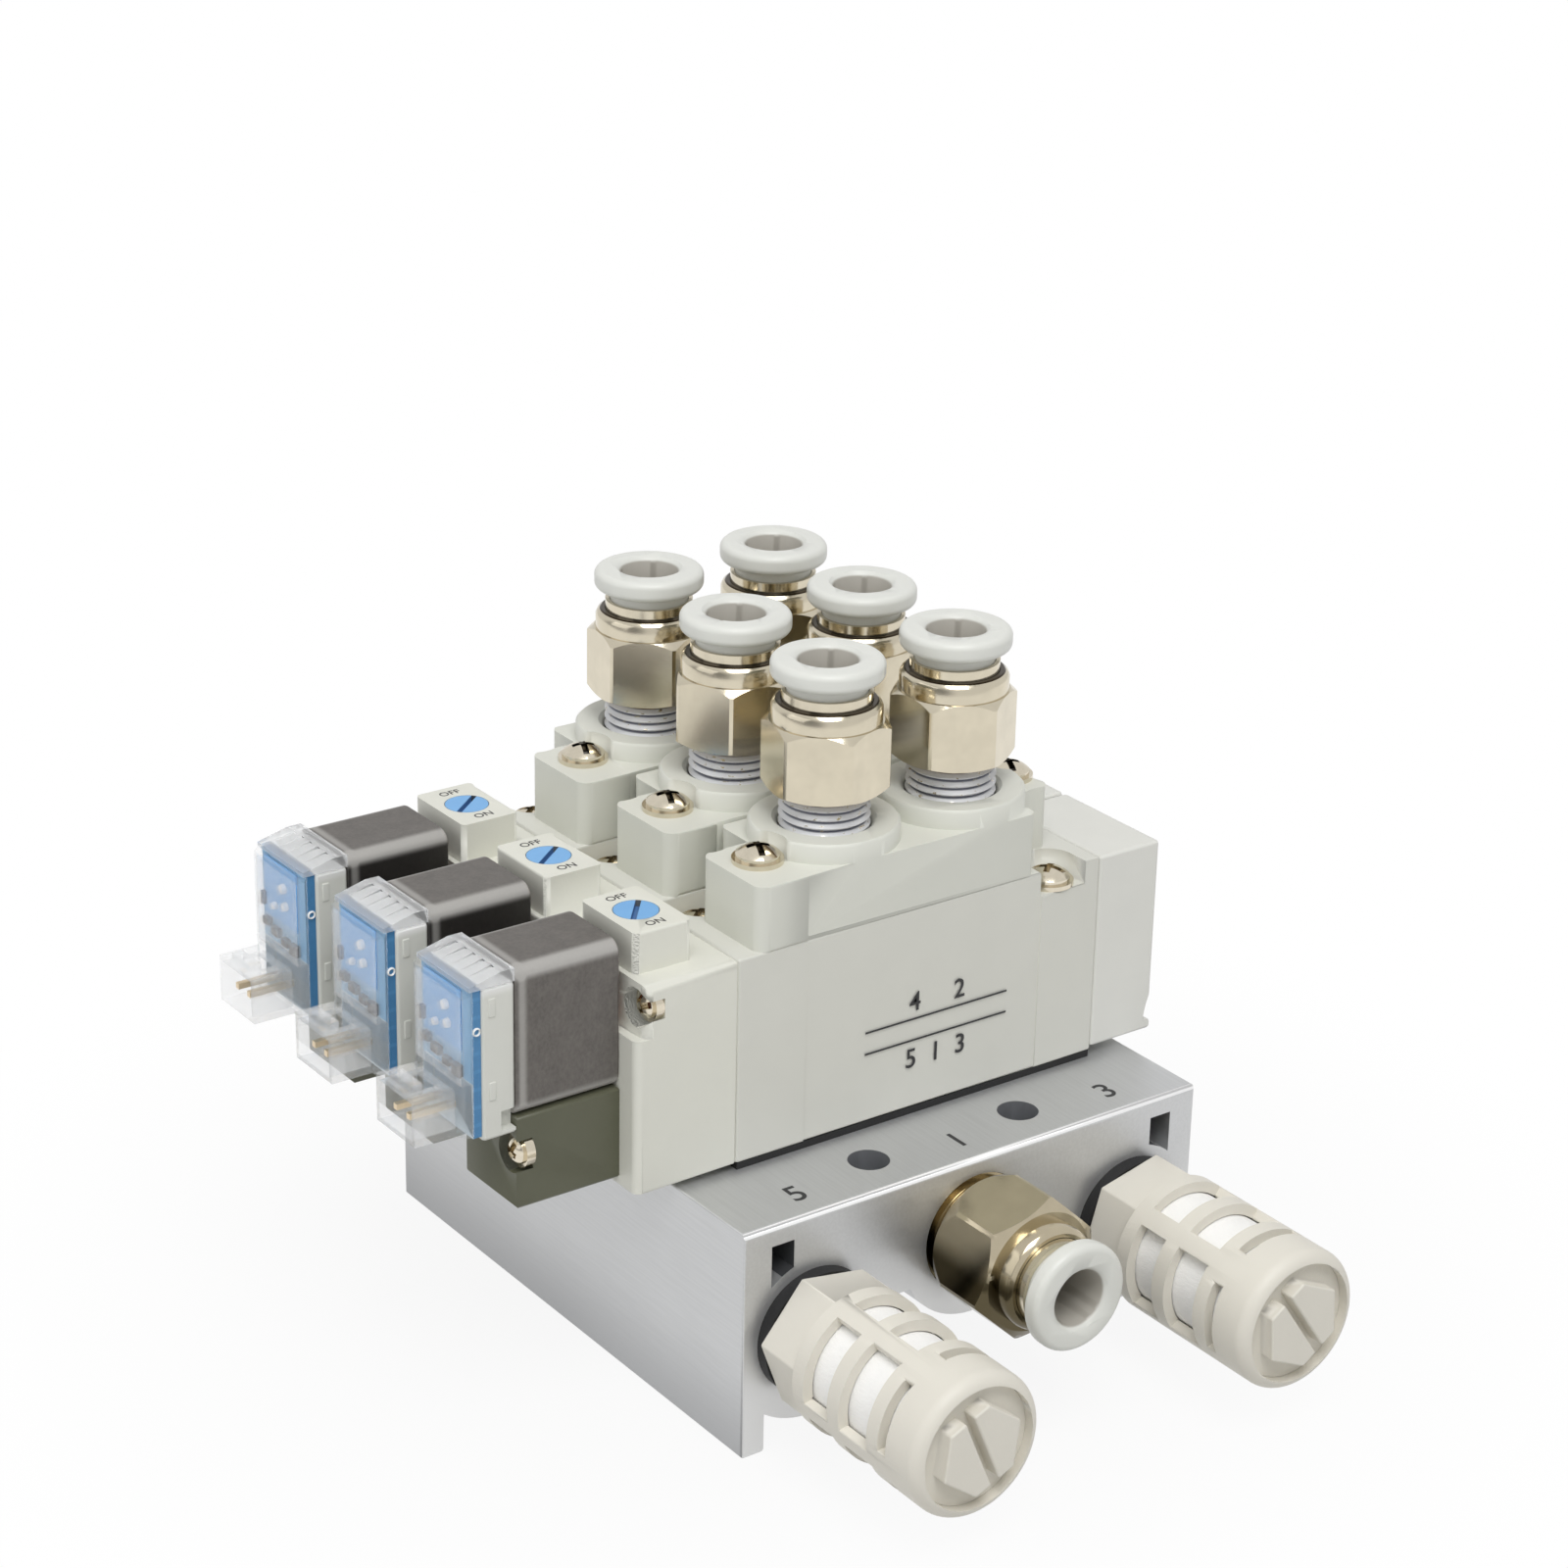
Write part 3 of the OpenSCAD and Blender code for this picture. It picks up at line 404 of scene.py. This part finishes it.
def screw_plating():
    """Bright plating, with painted shade down the cross recesses of the screws on top of the port blocks."""
    paint = Paint("screw_plating", (222, 213, 194), 0.16, metallic=1.0)
    marks = paint.noise(4.0, detail=3.0)
    head_top = high("valve_screws").z / MM
    [z] = paint.axes("Z")
    upright = paint.part(paint.node("ShaderNodeNewGeometry", output="True Normal"), "Z").size()
    # Painted shade on the floors and walls of the cross recesses.
    recess_floor = upright.above(0.999) * z.above(head_top - 1.2)
    recess_wall = upright.below(0.05) * z.above(head_top - 0.85)
    recess = recess_floor.math("MAXIMUM", recess_wall)
    plating = paint.vary(0.12, paint.noise(1.0))
    paint.feed("Base Color", paint.blend(recess * 0.9, plating, linear((44, 36, 28))))
    paint.feed("Roughness", marks * 0.14 + 0.1)
    paint.bump(marks, 0.006, 0.4)
    return paint.material


def turned_steel():
    paint = Paint("turned_steel", (178, 178, 180), 0.3, metallic=1.0)
    marks = paint.noise(5.0, stretch=(3.0, 0.5, 0.5), detail=3.0)
    paint.feed("Base Color", paint.vary(0.08, marks))
    paint.feed("Roughness", marks * 0.2 + 0.2)
    paint.bump(marks, 0.005, 0.5)
    return paint.material


def copper_winding():
    paint = Paint("copper_winding", (170, 96, 52), 0.32, metallic=1.0)
    [y] = paint.axes("Y")
    wire = (y * 30.0).wave()
    paint.feed("Base Color", paint.vary(0.25, wire))
    paint.feed("Roughness", wire * 0.15 + 0.25)
    paint.bump(wire, 0.05, 0.8)
    return paint.material


def felt():
    paint = Paint("felt", (253, 252, 250), 0.9, Specular_IOR_Level=0.2)
    fibres = paint.noise(2.6, stretch=(0.5, 1.0, 1.0), detail=5.0, rough=0.7)
    paint.feed("Base Color", paint.vary(0.03, fibres))
    paint.feed("Roughness", fibres * 0.1 + 0.85)
    paint.bump(fibres, 0.12, 0.8)
    return paint.material


def black_rubber():
    paint = Paint("black_rubber", (22, 22, 23), 0.6)
    skin = paint.noise(3.0, detail=3.0)
    paint.feed("Base Color", paint.vary(0.2, skin))
    paint.feed("Roughness", skin * 0.2 + 0.5)
    paint.bump(skin, 0.02, 0.5)
    return paint.material


def clear_plastic():
    """Clear plastic that veils little at the window, more at the plug socket and most at the roof."""
    paint = Paint("clear_plastic", (252, 253, 254), 0.05, Transmission_Weight=0.6, IOR=1.3)
    y, z = paint.axes("YZ")
    socket = y.below(low("clear_cover_1").y / MM + SOCKET_MM)
    roof = z.above(high("connector_frame_1").z / MM + 0.02)
    paint.feed("Alpha", socket * 0.16 + roof * 0.66 + 0.18)
    ripple = paint.noise(0.5, detail=2.0)
    paint.feed("Roughness", ripple * 0.06 + 0.01)
    paint.bump(ripple, 0.01, 0.2)
    return paint.material


def circuit_blue(k):
    """Blue solder mask with thin tracks and a paler front, with the copper pins in front of it."""
    paint = Paint(f"circuit_blue_{k}", (74, 132, 180), 0.34)
    x, y, z = paint.axes("XYZ")
    track = (z * 3.2).wave().above(0.9) * (x * 1.7).math("SINE").above(-0.2)
    weave = paint.noise(3.0, detail=2.0)
    face = high(f"circuit_board_{k}").y / MM - BOARD_MM
    bare_foot = z.below(low(f"circuit_board_{k}").z / MM + 6.0)
    mask = paint.blend(track * 0.2, paint.vary(0.1, weave), linear((104, 170, 220)))
    front = paint.blend(bare_foot, linear((132, 184, 222)), linear((196, 212, 222)))
    mask = paint.blend(y.below(face + 0.03), mask, front)
    pin = y.below(face - 0.02)
    paint.feed("Base Color", paint.blend(pin, mask, linear((224, 206, 176))))
    paint.feed("Metallic", pin)
    paint.feed("Roughness", weave * 0.15 + 0.27)
    paint.bump(track, 0.02, 0.5)
    return paint.material


def knob_plastic():
    """Blue plastic, with painted shade down the screwdriver slot."""
    paint = Paint("knob_blue", (122, 180, 234), 0.36, Specular_IOR_Level=0.4)
    [z] = paint.axes("Z")
    # Painted shade down the screwdriver slot.
    slot = z.below(high("override_knob_1").z / MM - 0.08)
    paint.feed("Base Color", paint.blend(slot, paint.vary(0.04, paint.noise(0.6)), linear((86, 128, 180))))
    paint.moulded_skin(0.01)
    return paint.material


def ink():
    paint = Paint("ink", (44, 44, 46), 0.5)
    wear = paint.noise(5.0, detail=3.0)
    paint.feed("Base Color", paint.vary(0.3, wear))
    paint.feed("Roughness", wear * 0.2 + 0.4)
    return paint.material


# The finish of each of the record's material slots
MATERIALS = {
    "bar_aluminium": brushed_aluminium(),
    "valve_grey": painted_casting("valve_grey", (219, 219, 211)),
    "block_grey": painted_casting("block_grey", (221, 222, 213)),
    "ivory_plastic": moulded_plastic("ivory_plastic", (227, 227, 217)),
    "cap_plastic": moulded_plastic("cap_plastic", (228, 228, 222), 0.42),
    "olive_plastic": olive_plastic(),
    "knob_blue": knob_plastic(),
    "clear_plastic": clear_plastic(),
    "silencer_plastic": moulded_plastic("silencer_plastic", (228, 224, 213), 0.46, grain_mm=0.03),
    "fibre_white": felt(),
    "nickel_brass": nickel(),
    "rubber_black": black_rubber(),
    "screw_steel": screw_plating(),
    "plain_steel": turned_steel(),
    "copper": copper_winding(),
}
INK = ink()
FRAME_WHITE = frame_plastic()
LABEL_BLUE = moulded_plastic("label_blue", (92, 170, 232), 0.3, grain_mm=0.01)
LAMP_WHITE = moulded_plastic("led_white", (242, 242, 240), 0.2, grain_mm=0.005)
CHIP_DARK = moulded_plastic("chip_dark", (24, 26, 32), grain_mm=0.01)

# Nodes with a finish of their own
supply_middle = middle("supply_fitting").z / MM
port_thread_top = high("tube_fittings").z / MM - HEX_MM
SPECIAL = {"supply_fitting": nickel("supply_nickel", (198, 187, 162), painted_shade_below=supply_middle),
           "tube_fittings": nickel("sealed_nickel", thread_top=port_thread_top)}
for k in VALVES:
    SPECIAL[f"coil_cover_{k}"] = solenoid_grey(k)
    SPECIAL[f"circuit_board_{k}"] = circuit_blue(k)
    SPECIAL[f"pilot_housing_{k}"] = housing_plastic(k)
    SPECIAL[f"connector_frame_{k}"] = FRAME_WHITE
for node in COLLARS:
    SPECIAL[node] = collar_plastic(node)

slot_of = {part["node"]: part["material_slot"] for part in frame["record"]["subparts"]}


# Making pieces

WELD_MM = 0.002        # points nearer than this are joined
COPLANAR_DEG = 0.5     # faces that turn less than this are one
SHARP_DEG = 40         # edges that turn more than this are rounded
LARGE_FLAT_MM2 = 25
CIRCLE_SIDES = 32


def material_of(node):
    return SPECIAL.get(node) or MATERIALS[slot_of[node]]


def dress(node):
    """Gives a CAD node its material."""
    shown = frame["nodes"][node].data
    shown.materials.clear()
    shown.materials.append(material_of(node))


def show(data, name):
    """An object at the origin that shows this data."""
    holder = bpy.data.objects.new(name, data)
    bpy.context.scene.collection.objects.link(holder)
    return holder


def round_edges(mesh, edges, radius, segments=2, **how):
    bmesh.ops.bevel(mesh, geom=edges, offset=radius, offset_type="OFFSET", segments=segments,
                    profile=0.5, affect="EDGES", material=-1, **how)


def finish_piece(mesh, name, material, body=BODY, boxy=True, smooth_to=46):
    """Turns a bmesh into a shown piece that rides on a body. Edges turn sharp past smooth_to degrees. A boxy
    piece has its normals weighted by face size, and on a round one the large flats, such as those of a
    hexagon, stay flat."""
    data = bpy.data.meshes.new(name)
    for face in mesh.faces:
        face.smooth = boxy or face.calc_area() < LARGE_FLAT_MM2 * MM * MM
    mesh.to_mesh(data)
    mesh.free()
    data.materials.append(material)
    piece = show(data, name)
    data.set_sharp_from_angle(angle=math.radians(smooth_to))
    if boxy:
        piece.modifiers.new("weighted", "WEIGHTED_NORMAL").keep_sharp = True
    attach(piece, body)
    return piece


def wide_beside(edge, width):
    """Whether both faces at an edge are wide enough to be rounded over that width."""
    return all(face.calc_area() / edge.calc_length() > width for face in edge.link_faces)


def soften(node, radius_mm, shortest_mm=0.0, body=BODY, segments=2, boxy=True, smooth_to=46):
    """A copy of a CAD node that stands for it, with its sharp outer edges rounded."""
    mesh = bmesh.new()
    mesh.from_mesh(frame["nodes"][node].data)
    bmesh.ops.remove_doubles(mesh, verts=mesh.verts, dist=WELD_MM * MM)
    one_plane, sharp = math.radians(COPLANAR_DEG), math.radians(SHARP_DEG)
    bmesh.ops.dissolve_limit(mesh, angle_limit=one_plane, verts=mesh.verts, edges=mesh.edges)
    room = min(1.3 * radius_mm, 0.4) * MM
    edges = [e for e in mesh.edges
             if len(e.link_faces) == 2 and e.is_convex and e.calc_length() >= shortest_mm * MM
             and e.calc_face_angle(0) > sharp and wide_beside(e, room)]
    round_edges(mesh, edges, radius_mm * MM, segments, clamp_overlap=False)
    piece = finish_piece(mesh, f"{node}_soft", material_of(node), body, boxy, smooth_to)
    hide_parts(node)


def block(corner, other, radius_mm=0.0):
    """A bmesh box between two corners in metres, with rounded edges."""
    corner, other = Vector(corner), Vector(other)
    mesh = bmesh.new()
    bmesh.ops.create_cube(mesh, size=1.0)
    bmesh.ops.scale(mesh, vec=other - corner, verts=mesh.verts)
    bmesh.ops.translate(mesh, vec=(corner + other) / 2, verts=mesh.verts)
    if radius_mm:
        round_edges(mesh, mesh.edges[:], radius_mm * MM)
    return mesh


def button(centre, radius, height, turn):
    """A bmesh button whose base lies at centre and whose rim is rounded, turned by a matrix."""
    mesh = bmesh.new()
    bmesh.ops.create_cone(mesh, cap_ends=True, segments=CIRCLE_SIDES, radius1=radius, radius2=radius,
                          depth=height)
    bmesh.ops.translate(mesh, vec=(0, 0, height / 2), verts=mesh.verts)
    rim = [e for e in mesh.edges if all(v.co.z > height * 0.9 for v in e.verts)]
    round_edges(mesh, rim, min(radius, height) * 0.45, segments=3)
    bmesh.ops.transform(mesh, matrix=Matrix.Translation(centre) @ turn, verts=mesh.verts)
    return mesh


# Rounded edges

def soft_edges():
    soften("manifold_base", 0.25, shortest_mm=20)
    soften("end_caps", 0.4, shortest_mm=2)
    soften("pilot_bases", 0.3, shortest_mm=5)
    soften("silencer_bodies", 0.22, shortest_mm=1.2, segments=3, boxy=False, smooth_to=30)
    soften("silencer_caps", 0.25, shortest_mm=1)
    for fitting in ("tube_fittings", "supply_fitting"):
        soften(fitting, 0.12, shortest_mm=2, boxy=False, smooth_to=20)
    for k in VALVES:
        soften(f"valve_body_{k}", 0.3, shortest_mm=3)
        soften(f"port_block_{k}", 0.4, shortest_mm=4, segments=3, boxy=False, smooth_to=30)
        soften(f"pilot_housing_{k}", 0.3, shortest_mm=1.5)
        soften(f"coil_cover_{k}", 0.3)
        soften(f"connector_frame_{k}", 0.4, shortest_mm=2)
    for node in COLLARS:
        soften(node, 0.25, body=node, segments=3, boxy=False, smooth_to=30)


# Electronics behind each clear window. Places are across and up from the middle of the board's foot, in mm.

LABEL_CORNERS = ((-4.1, 8.9), (2.9, 15.5))
LABEL_BACK, LABEL_PROUD = 0.02, 0.22
# Middle, width and height of each chip
CHIPS = ((-3.4, 8.1, 1.3, 0.9), (-1.5, 7.5, 1.6, 1.0), (0.5, 7.0, 1.3, 0.9), (-4.0, 10.6, 0.7, 1.5),
         (2.4, 6.8, 1.5, 1.3))
CHIP_PROUD = 0.62
# Middle and radius of each white lamp
LAMPS = ((0.3, 13.1, 0.55), (-1.6, 10.5, 0.42), (0.7, 11.2, 0.5))
LAMP_BACK, LAMP_TALL = 0.2, 0.5
EDGE_LAMP_UP = 11.6
# The edge lamp's ring in section: distance from its axis, and out from the board's edge, in mm
RING_SECTION = ((0.28, -0.3), (0.28, 0.12), (0.36, 0.22), (0.46, 0.12), (0.48, -0.3))


def electronics(k):
    board = f"circuit_board_{k}"
    foot = Vector((middle(f"valve_body_{k}").x, high(board).y - BOARD_MM * MM, low(board).z))

    def spot(across, up, proud=0.0):
        return foot + Vector((across, -proud, up)) * MM

    label = block(spot(*LABEL_CORNERS[0], LABEL_PROUD), spot(*LABEL_CORNERS[1], LABEL_BACK), 0.08)
    finish_piece(label, f"label_{k}", LABEL_BLUE)
    for i, (across, up, wide, tall) in enumerate(CHIPS):
        front = spot(across - wide / 2, up - tall / 2, CHIP_PROUD)
        back = spot(across + wide / 2, up + tall / 2)
        finish_piece(block(front, back, 0.1), f"chip_{k}_{i}", CHIP_DARK)
    towards_plug = Matrix.Rotation(math.radians(90), 4, "X")
    for i, (across, up, radius) in enumerate(LAMPS):
        dome = button(spot(across, up, LAMP_BACK), radius * MM, LAMP_TALL * MM, towards_plug)
        finish_piece(dome, f"lamp_dome_{k}_{i}", LAMP_WHITE)
    edge_lamp(k, spot(BOARD_HALF_MM, EDGE_LAMP_UP, -BOARD_MM / 2))


def edge_lamp(k, centre):
    """The ring of the lamp in the long edge of the board, which faces the port end."""
    ring = bmesh.new()
    profile = [ring.verts.new((radius * MM, 0, out * MM)) for radius, out in RING_SECTION]
    edges = [ring.edges.new(pair) for pair in zip(profile, profile[1:] + profile[:1])]
    bmesh.ops.spin(ring, geom=profile + edges, cent=(0, 0, 0), axis=(0, 0, 1), angle=math.tau,
                   steps=CIRCLE_SIDES, use_merge=True)
    bmesh.ops.recalc_face_normals(ring, faces=ring.faces)
    sideways = Matrix.Translation(centre) @ Matrix.Rotation(math.radians(90), 4, "Y")
    bmesh.ops.transform(ring, matrix=sideways, verts=ring.verts)
    finish_piece(ring, f"edge_lamp_{k}", LAMP_WHITE)


# Two raised pads on each long side of a connector frame, in mm: how far from its front, their width and
# height, how far they stand out and reach in, and their feet above its foot and below its top
PAD_FROM_FRONT, PAD_WIDE, PAD_TALL, PAD_OUT, PAD_IN = 0.75, 0.8, 2.0, 0.12, 0.2
PAD_ABOVE_FOOT, PAD_BELOW_TOP = 4.4, 3.2


def frame_pads(k):
    node = f"connector_frame_{k}"
    front, foot, top = low(node).y + PAD_FROM_FRONT * MM, low(node).z, high(node).z
    for letter, out, face in (("a", -1, low(node).x), ("b", 1, high(node).x)):
        across = sorted((face - out * PAD_IN * MM, face + out * PAD_OUT * MM))
        for i, z in enumerate((foot + PAD_ABOVE_FOOT * MM, top - PAD_BELOW_TOP * MM)):
            pad = block((across[0], front, z), (across[1], front + PAD_WIDE * MM, z + PAD_TALL * MM), 0.1)
            finish_piece(pad, f"frame_pad_{k}_{letter}{i}", FRAME_WHITE)


# Generic marks, in mm

CAPITAL_SHARE = 0.7        # height of a capital as a share of the font's size
STROKE_SHARE = 0.008       # what its strokes gain, as a share of that height
INK_MM = 0.02              # how thick the ink is
INK_WELD_MM = 0.001
# On top of the bar: what each port is called, and its y
PORT_MARKS = (("5", -20.6), ("1", 0.4), ("3", 20.9))
PORT_MARK_X, PORT_MARK_TALL = 31.0, 3.0
# On each turret, across from the knob's middle
KNOB_MARKS = (("ON", 3.55), ("OFF", -3.55))
KNOB_MARK_TALL = 1.0
# On the side of the front valve: two rows and two rules, at their z
VALVE_MARKS = (("4     2", 13.2), ("5  1  3", 6.6))
VALVE_MARK_Y, VALVE_MARK_TALL = 3.0, 2.2
RULES_Z, RULE_Y, RULE_TALL = (11.2, 8.7), (-6.5, 12.5), 0.22


def printed(text, name, height_mm, origin, along, up):
    """Words as a thin film of ink: origin is the middle of the line, along and up its directions."""
    curve = bpy.data.curves.new(name, "FONT")
    curve.body = text
    curve.align_x = "CENTER"
    curve.align_y = "CENTER"
    curve.size = height_mm * MM / CAPITAL_SHARE
    curve.extrude = INK_MM * MM / 2
    curve.offset = height_mm * STROKE_SHARE * MM
    holder = show(curve, name)
    bpy.context.view_layer.update()
    flat = bpy.data.meshes.new_from_object(holder)
    bpy.data.objects.remove(holder)
    bpy.data.curves.remove(curve)
    along, up = Vector(along).normalized(), Vector(up).normalized()
    out = along.cross(up)
    turn = Matrix((along, up, out)).transposed().to_4x4()
    place = Matrix.Translation(Vector(origin) + out * INK_MM * MM / 2)
    mesh = bmesh.new()
    mesh.from_mesh(flat)
    bpy.data.meshes.remove(flat)
    bmesh.ops.remove_doubles(mesh, verts=mesh.verts, dist=INK_WELD_MM * MM)
    bmesh.ops.transform(mesh, matrix=place @ turn, verts=mesh.verts)
    finish_piece(mesh, name, INK)


def marks():
    to_back, to_left, upwards = (0, 1, 0), (-1, 0, 0), (0, 0, 1)
    for text, y in PORT_MARKS:
        place = (PORT_MARK_X * MM, y * MM, bar_high.z)
        printed(text, f"port_mark_{text}", PORT_MARK_TALL, place, to_back, to_left)
    for k in VALVES:
        knob = middle(f"override_knob_{k}")
        for text, across in KNOB_MARKS:
            place = (knob.x + across * MM, knob.y, high(f"pilot_housing_{k}").z)
            printed(text, f"knob_mark_{text.lower()}_{k}", KNOB_MARK_TALL, place, to_back, to_left)
    side_x = high("valve_body_1").x
    for i, (text, z) in enumerate(VALVE_MARKS):
        place = (side_x, VALVE_MARK_Y * MM, z * MM)
        printed(text, f"valve_print_{i}", VALVE_MARK_TALL, place, to_back, upwards)
    for i, z in enumerate(RULES_Z):
        rule = block((side_x, RULE_Y[0] * MM, z * MM),
                     (side_x + INK_MM * MM, RULE_Y[1] * MM, (z + RULE_TALL) * MM))
        finish_piece(rule, f"print_rule_{i}", INK)


for node in frame["nodes"]:
    dress(node)
soft_edges()
for k in VALVES:
    electronics(k)
    frame_pads(k)
marks()


# Studio

FLOOR_HALF = 1.5       # half the floor's width, in metres
SHADOW_BASE = 0.88     # how bright the floor looks under the object
SKY_LEVEL = 0.47       # how much of the white sky lights the object
GLOSS_DARKER = 0.2     # what glosses lose of it
LEFT_DARKER = 0.5      # and what they lose more on the left


def floor_material():
    """A pale floor that the camera and the glosses see nearly white, with the object's shadow near it."""
    material = bpy.data.materials.new("floor")
    graph = Graph(material)
    place = graph.node("ShaderNodeTexCoord", output="Object")
    distance = graph.node("ShaderNodeVectorMath", {"operation": "LENGTH"}, {0: place}, output="Value")
    bright = distance.smooth(0.02, 0.11) * (1 - SHADOW_BASE) + SHADOW_BASE
    pale = graph.node("ShaderNodeBsdfDiffuse", {}, {"Color": linear((208, 208, 207))})
    white = graph.node("ShaderNodeEmission")
    mixed = graph.node("ShaderNodeMixShader", {}, {0: graph.direct() * bright, 1: pale, 2: white})
    graph.node("ShaderNodeOutputMaterial", {}, {"Surface": mixed})
    return material


def studio_floor():
    mesh = bmesh.new()
    bmesh.ops.create_grid(mesh, x_segments=1, y_segments=1, size=FLOOR_HALF)
    bmesh.ops.translate(mesh, vec=(0, 0, bar_low.z), verts=mesh.verts)
    data = bpy.data.meshes.new("floor")
    mesh.to_mesh(data)
    mesh.free()
    floor = show(data, "floor")
    data.materials.append(floor_material())


def sky():
    """A white sky all round, which lights the object at a lower level than it is seen at."""
    world = bpy.data.worlds.new("world")
    bpy.context.scene.world = world
    graph = Graph(world)
    towards = graph.node("ShaderNodeTexCoord", output="Generated")
    left = (graph.part(towards, "Y") * -1).smooth(0.5, 0.9)
    lost = graph.ray("Glossy") * (left * LEFT_DARKER + GLOSS_DARKER)
    strength = graph.direct() * (1 - SKY_LEVEL) + SKY_LEVEL - lost
    white = linear((255, 255, 255))
    light = graph.node("ShaderNodeBackground", {}, {"Color": white, "Strength": strength})
    graph.node("ShaderNodeOutputWorld", {}, {"Surface": light})


def lamp(name, place, size, power):
    """A square area lamp that faces the object; place and size in metres, power in watts."""
    light = bpy.data.lights.new(name, "AREA")
    light.shape = "SQUARE"
    light.size = size
    light.energy = power
    holder = show(light, name)
    holder.location = place
    holder.rotation_euler = (-Vector(place)).to_track_quat("-Z", "Y").to_euler()


def camera():
    """The photograph's camera: where it stands, how it is turned, and its lens."""
    azimuth, elevation, roll = math.radians(-36.55), math.radians(21.634), math.radians(1.355)
    eye = Vector((299.693, -219.523, 183.388)) * MM
    back = Vector((math.cos(elevation) * math.cos(azimuth), math.cos(elevation) * math.sin(azimuth),
                   math.sin(elevation)))
    right = (-back).cross(Vector((0, 0, 1))).normalized()
    up = right.cross(-back)
    turned_right = math.cos(roll) * right + math.sin(roll) * up
    turned_up = math.cos(roll) * up - math.sin(roll) * right
    data = bpy.data.cameras.new("camera")
    data.sensor_width = 36.0
    data.lens = 84.882
    data.shift_x = -0.016
    data.shift_y = -0.0326
    data.clip_start = 0.01
    holder = show(data, "camera")
    turn = Matrix((turned_right, turned_up, back)).transposed()
    holder.matrix_world = Matrix.Translation(eye) @ turn.to_4x4()
    bpy.context.scene.camera = holder


studio_floor()
sky()
lamp("key", (0.42, -0.2, 0.82), 0.5, 4.8)
lamp("fill", (-0.15, -0.8, 0.4), 0.7, 1.1)
camera()
bpy.context.scene.view_settings.view_transform = "Standard"
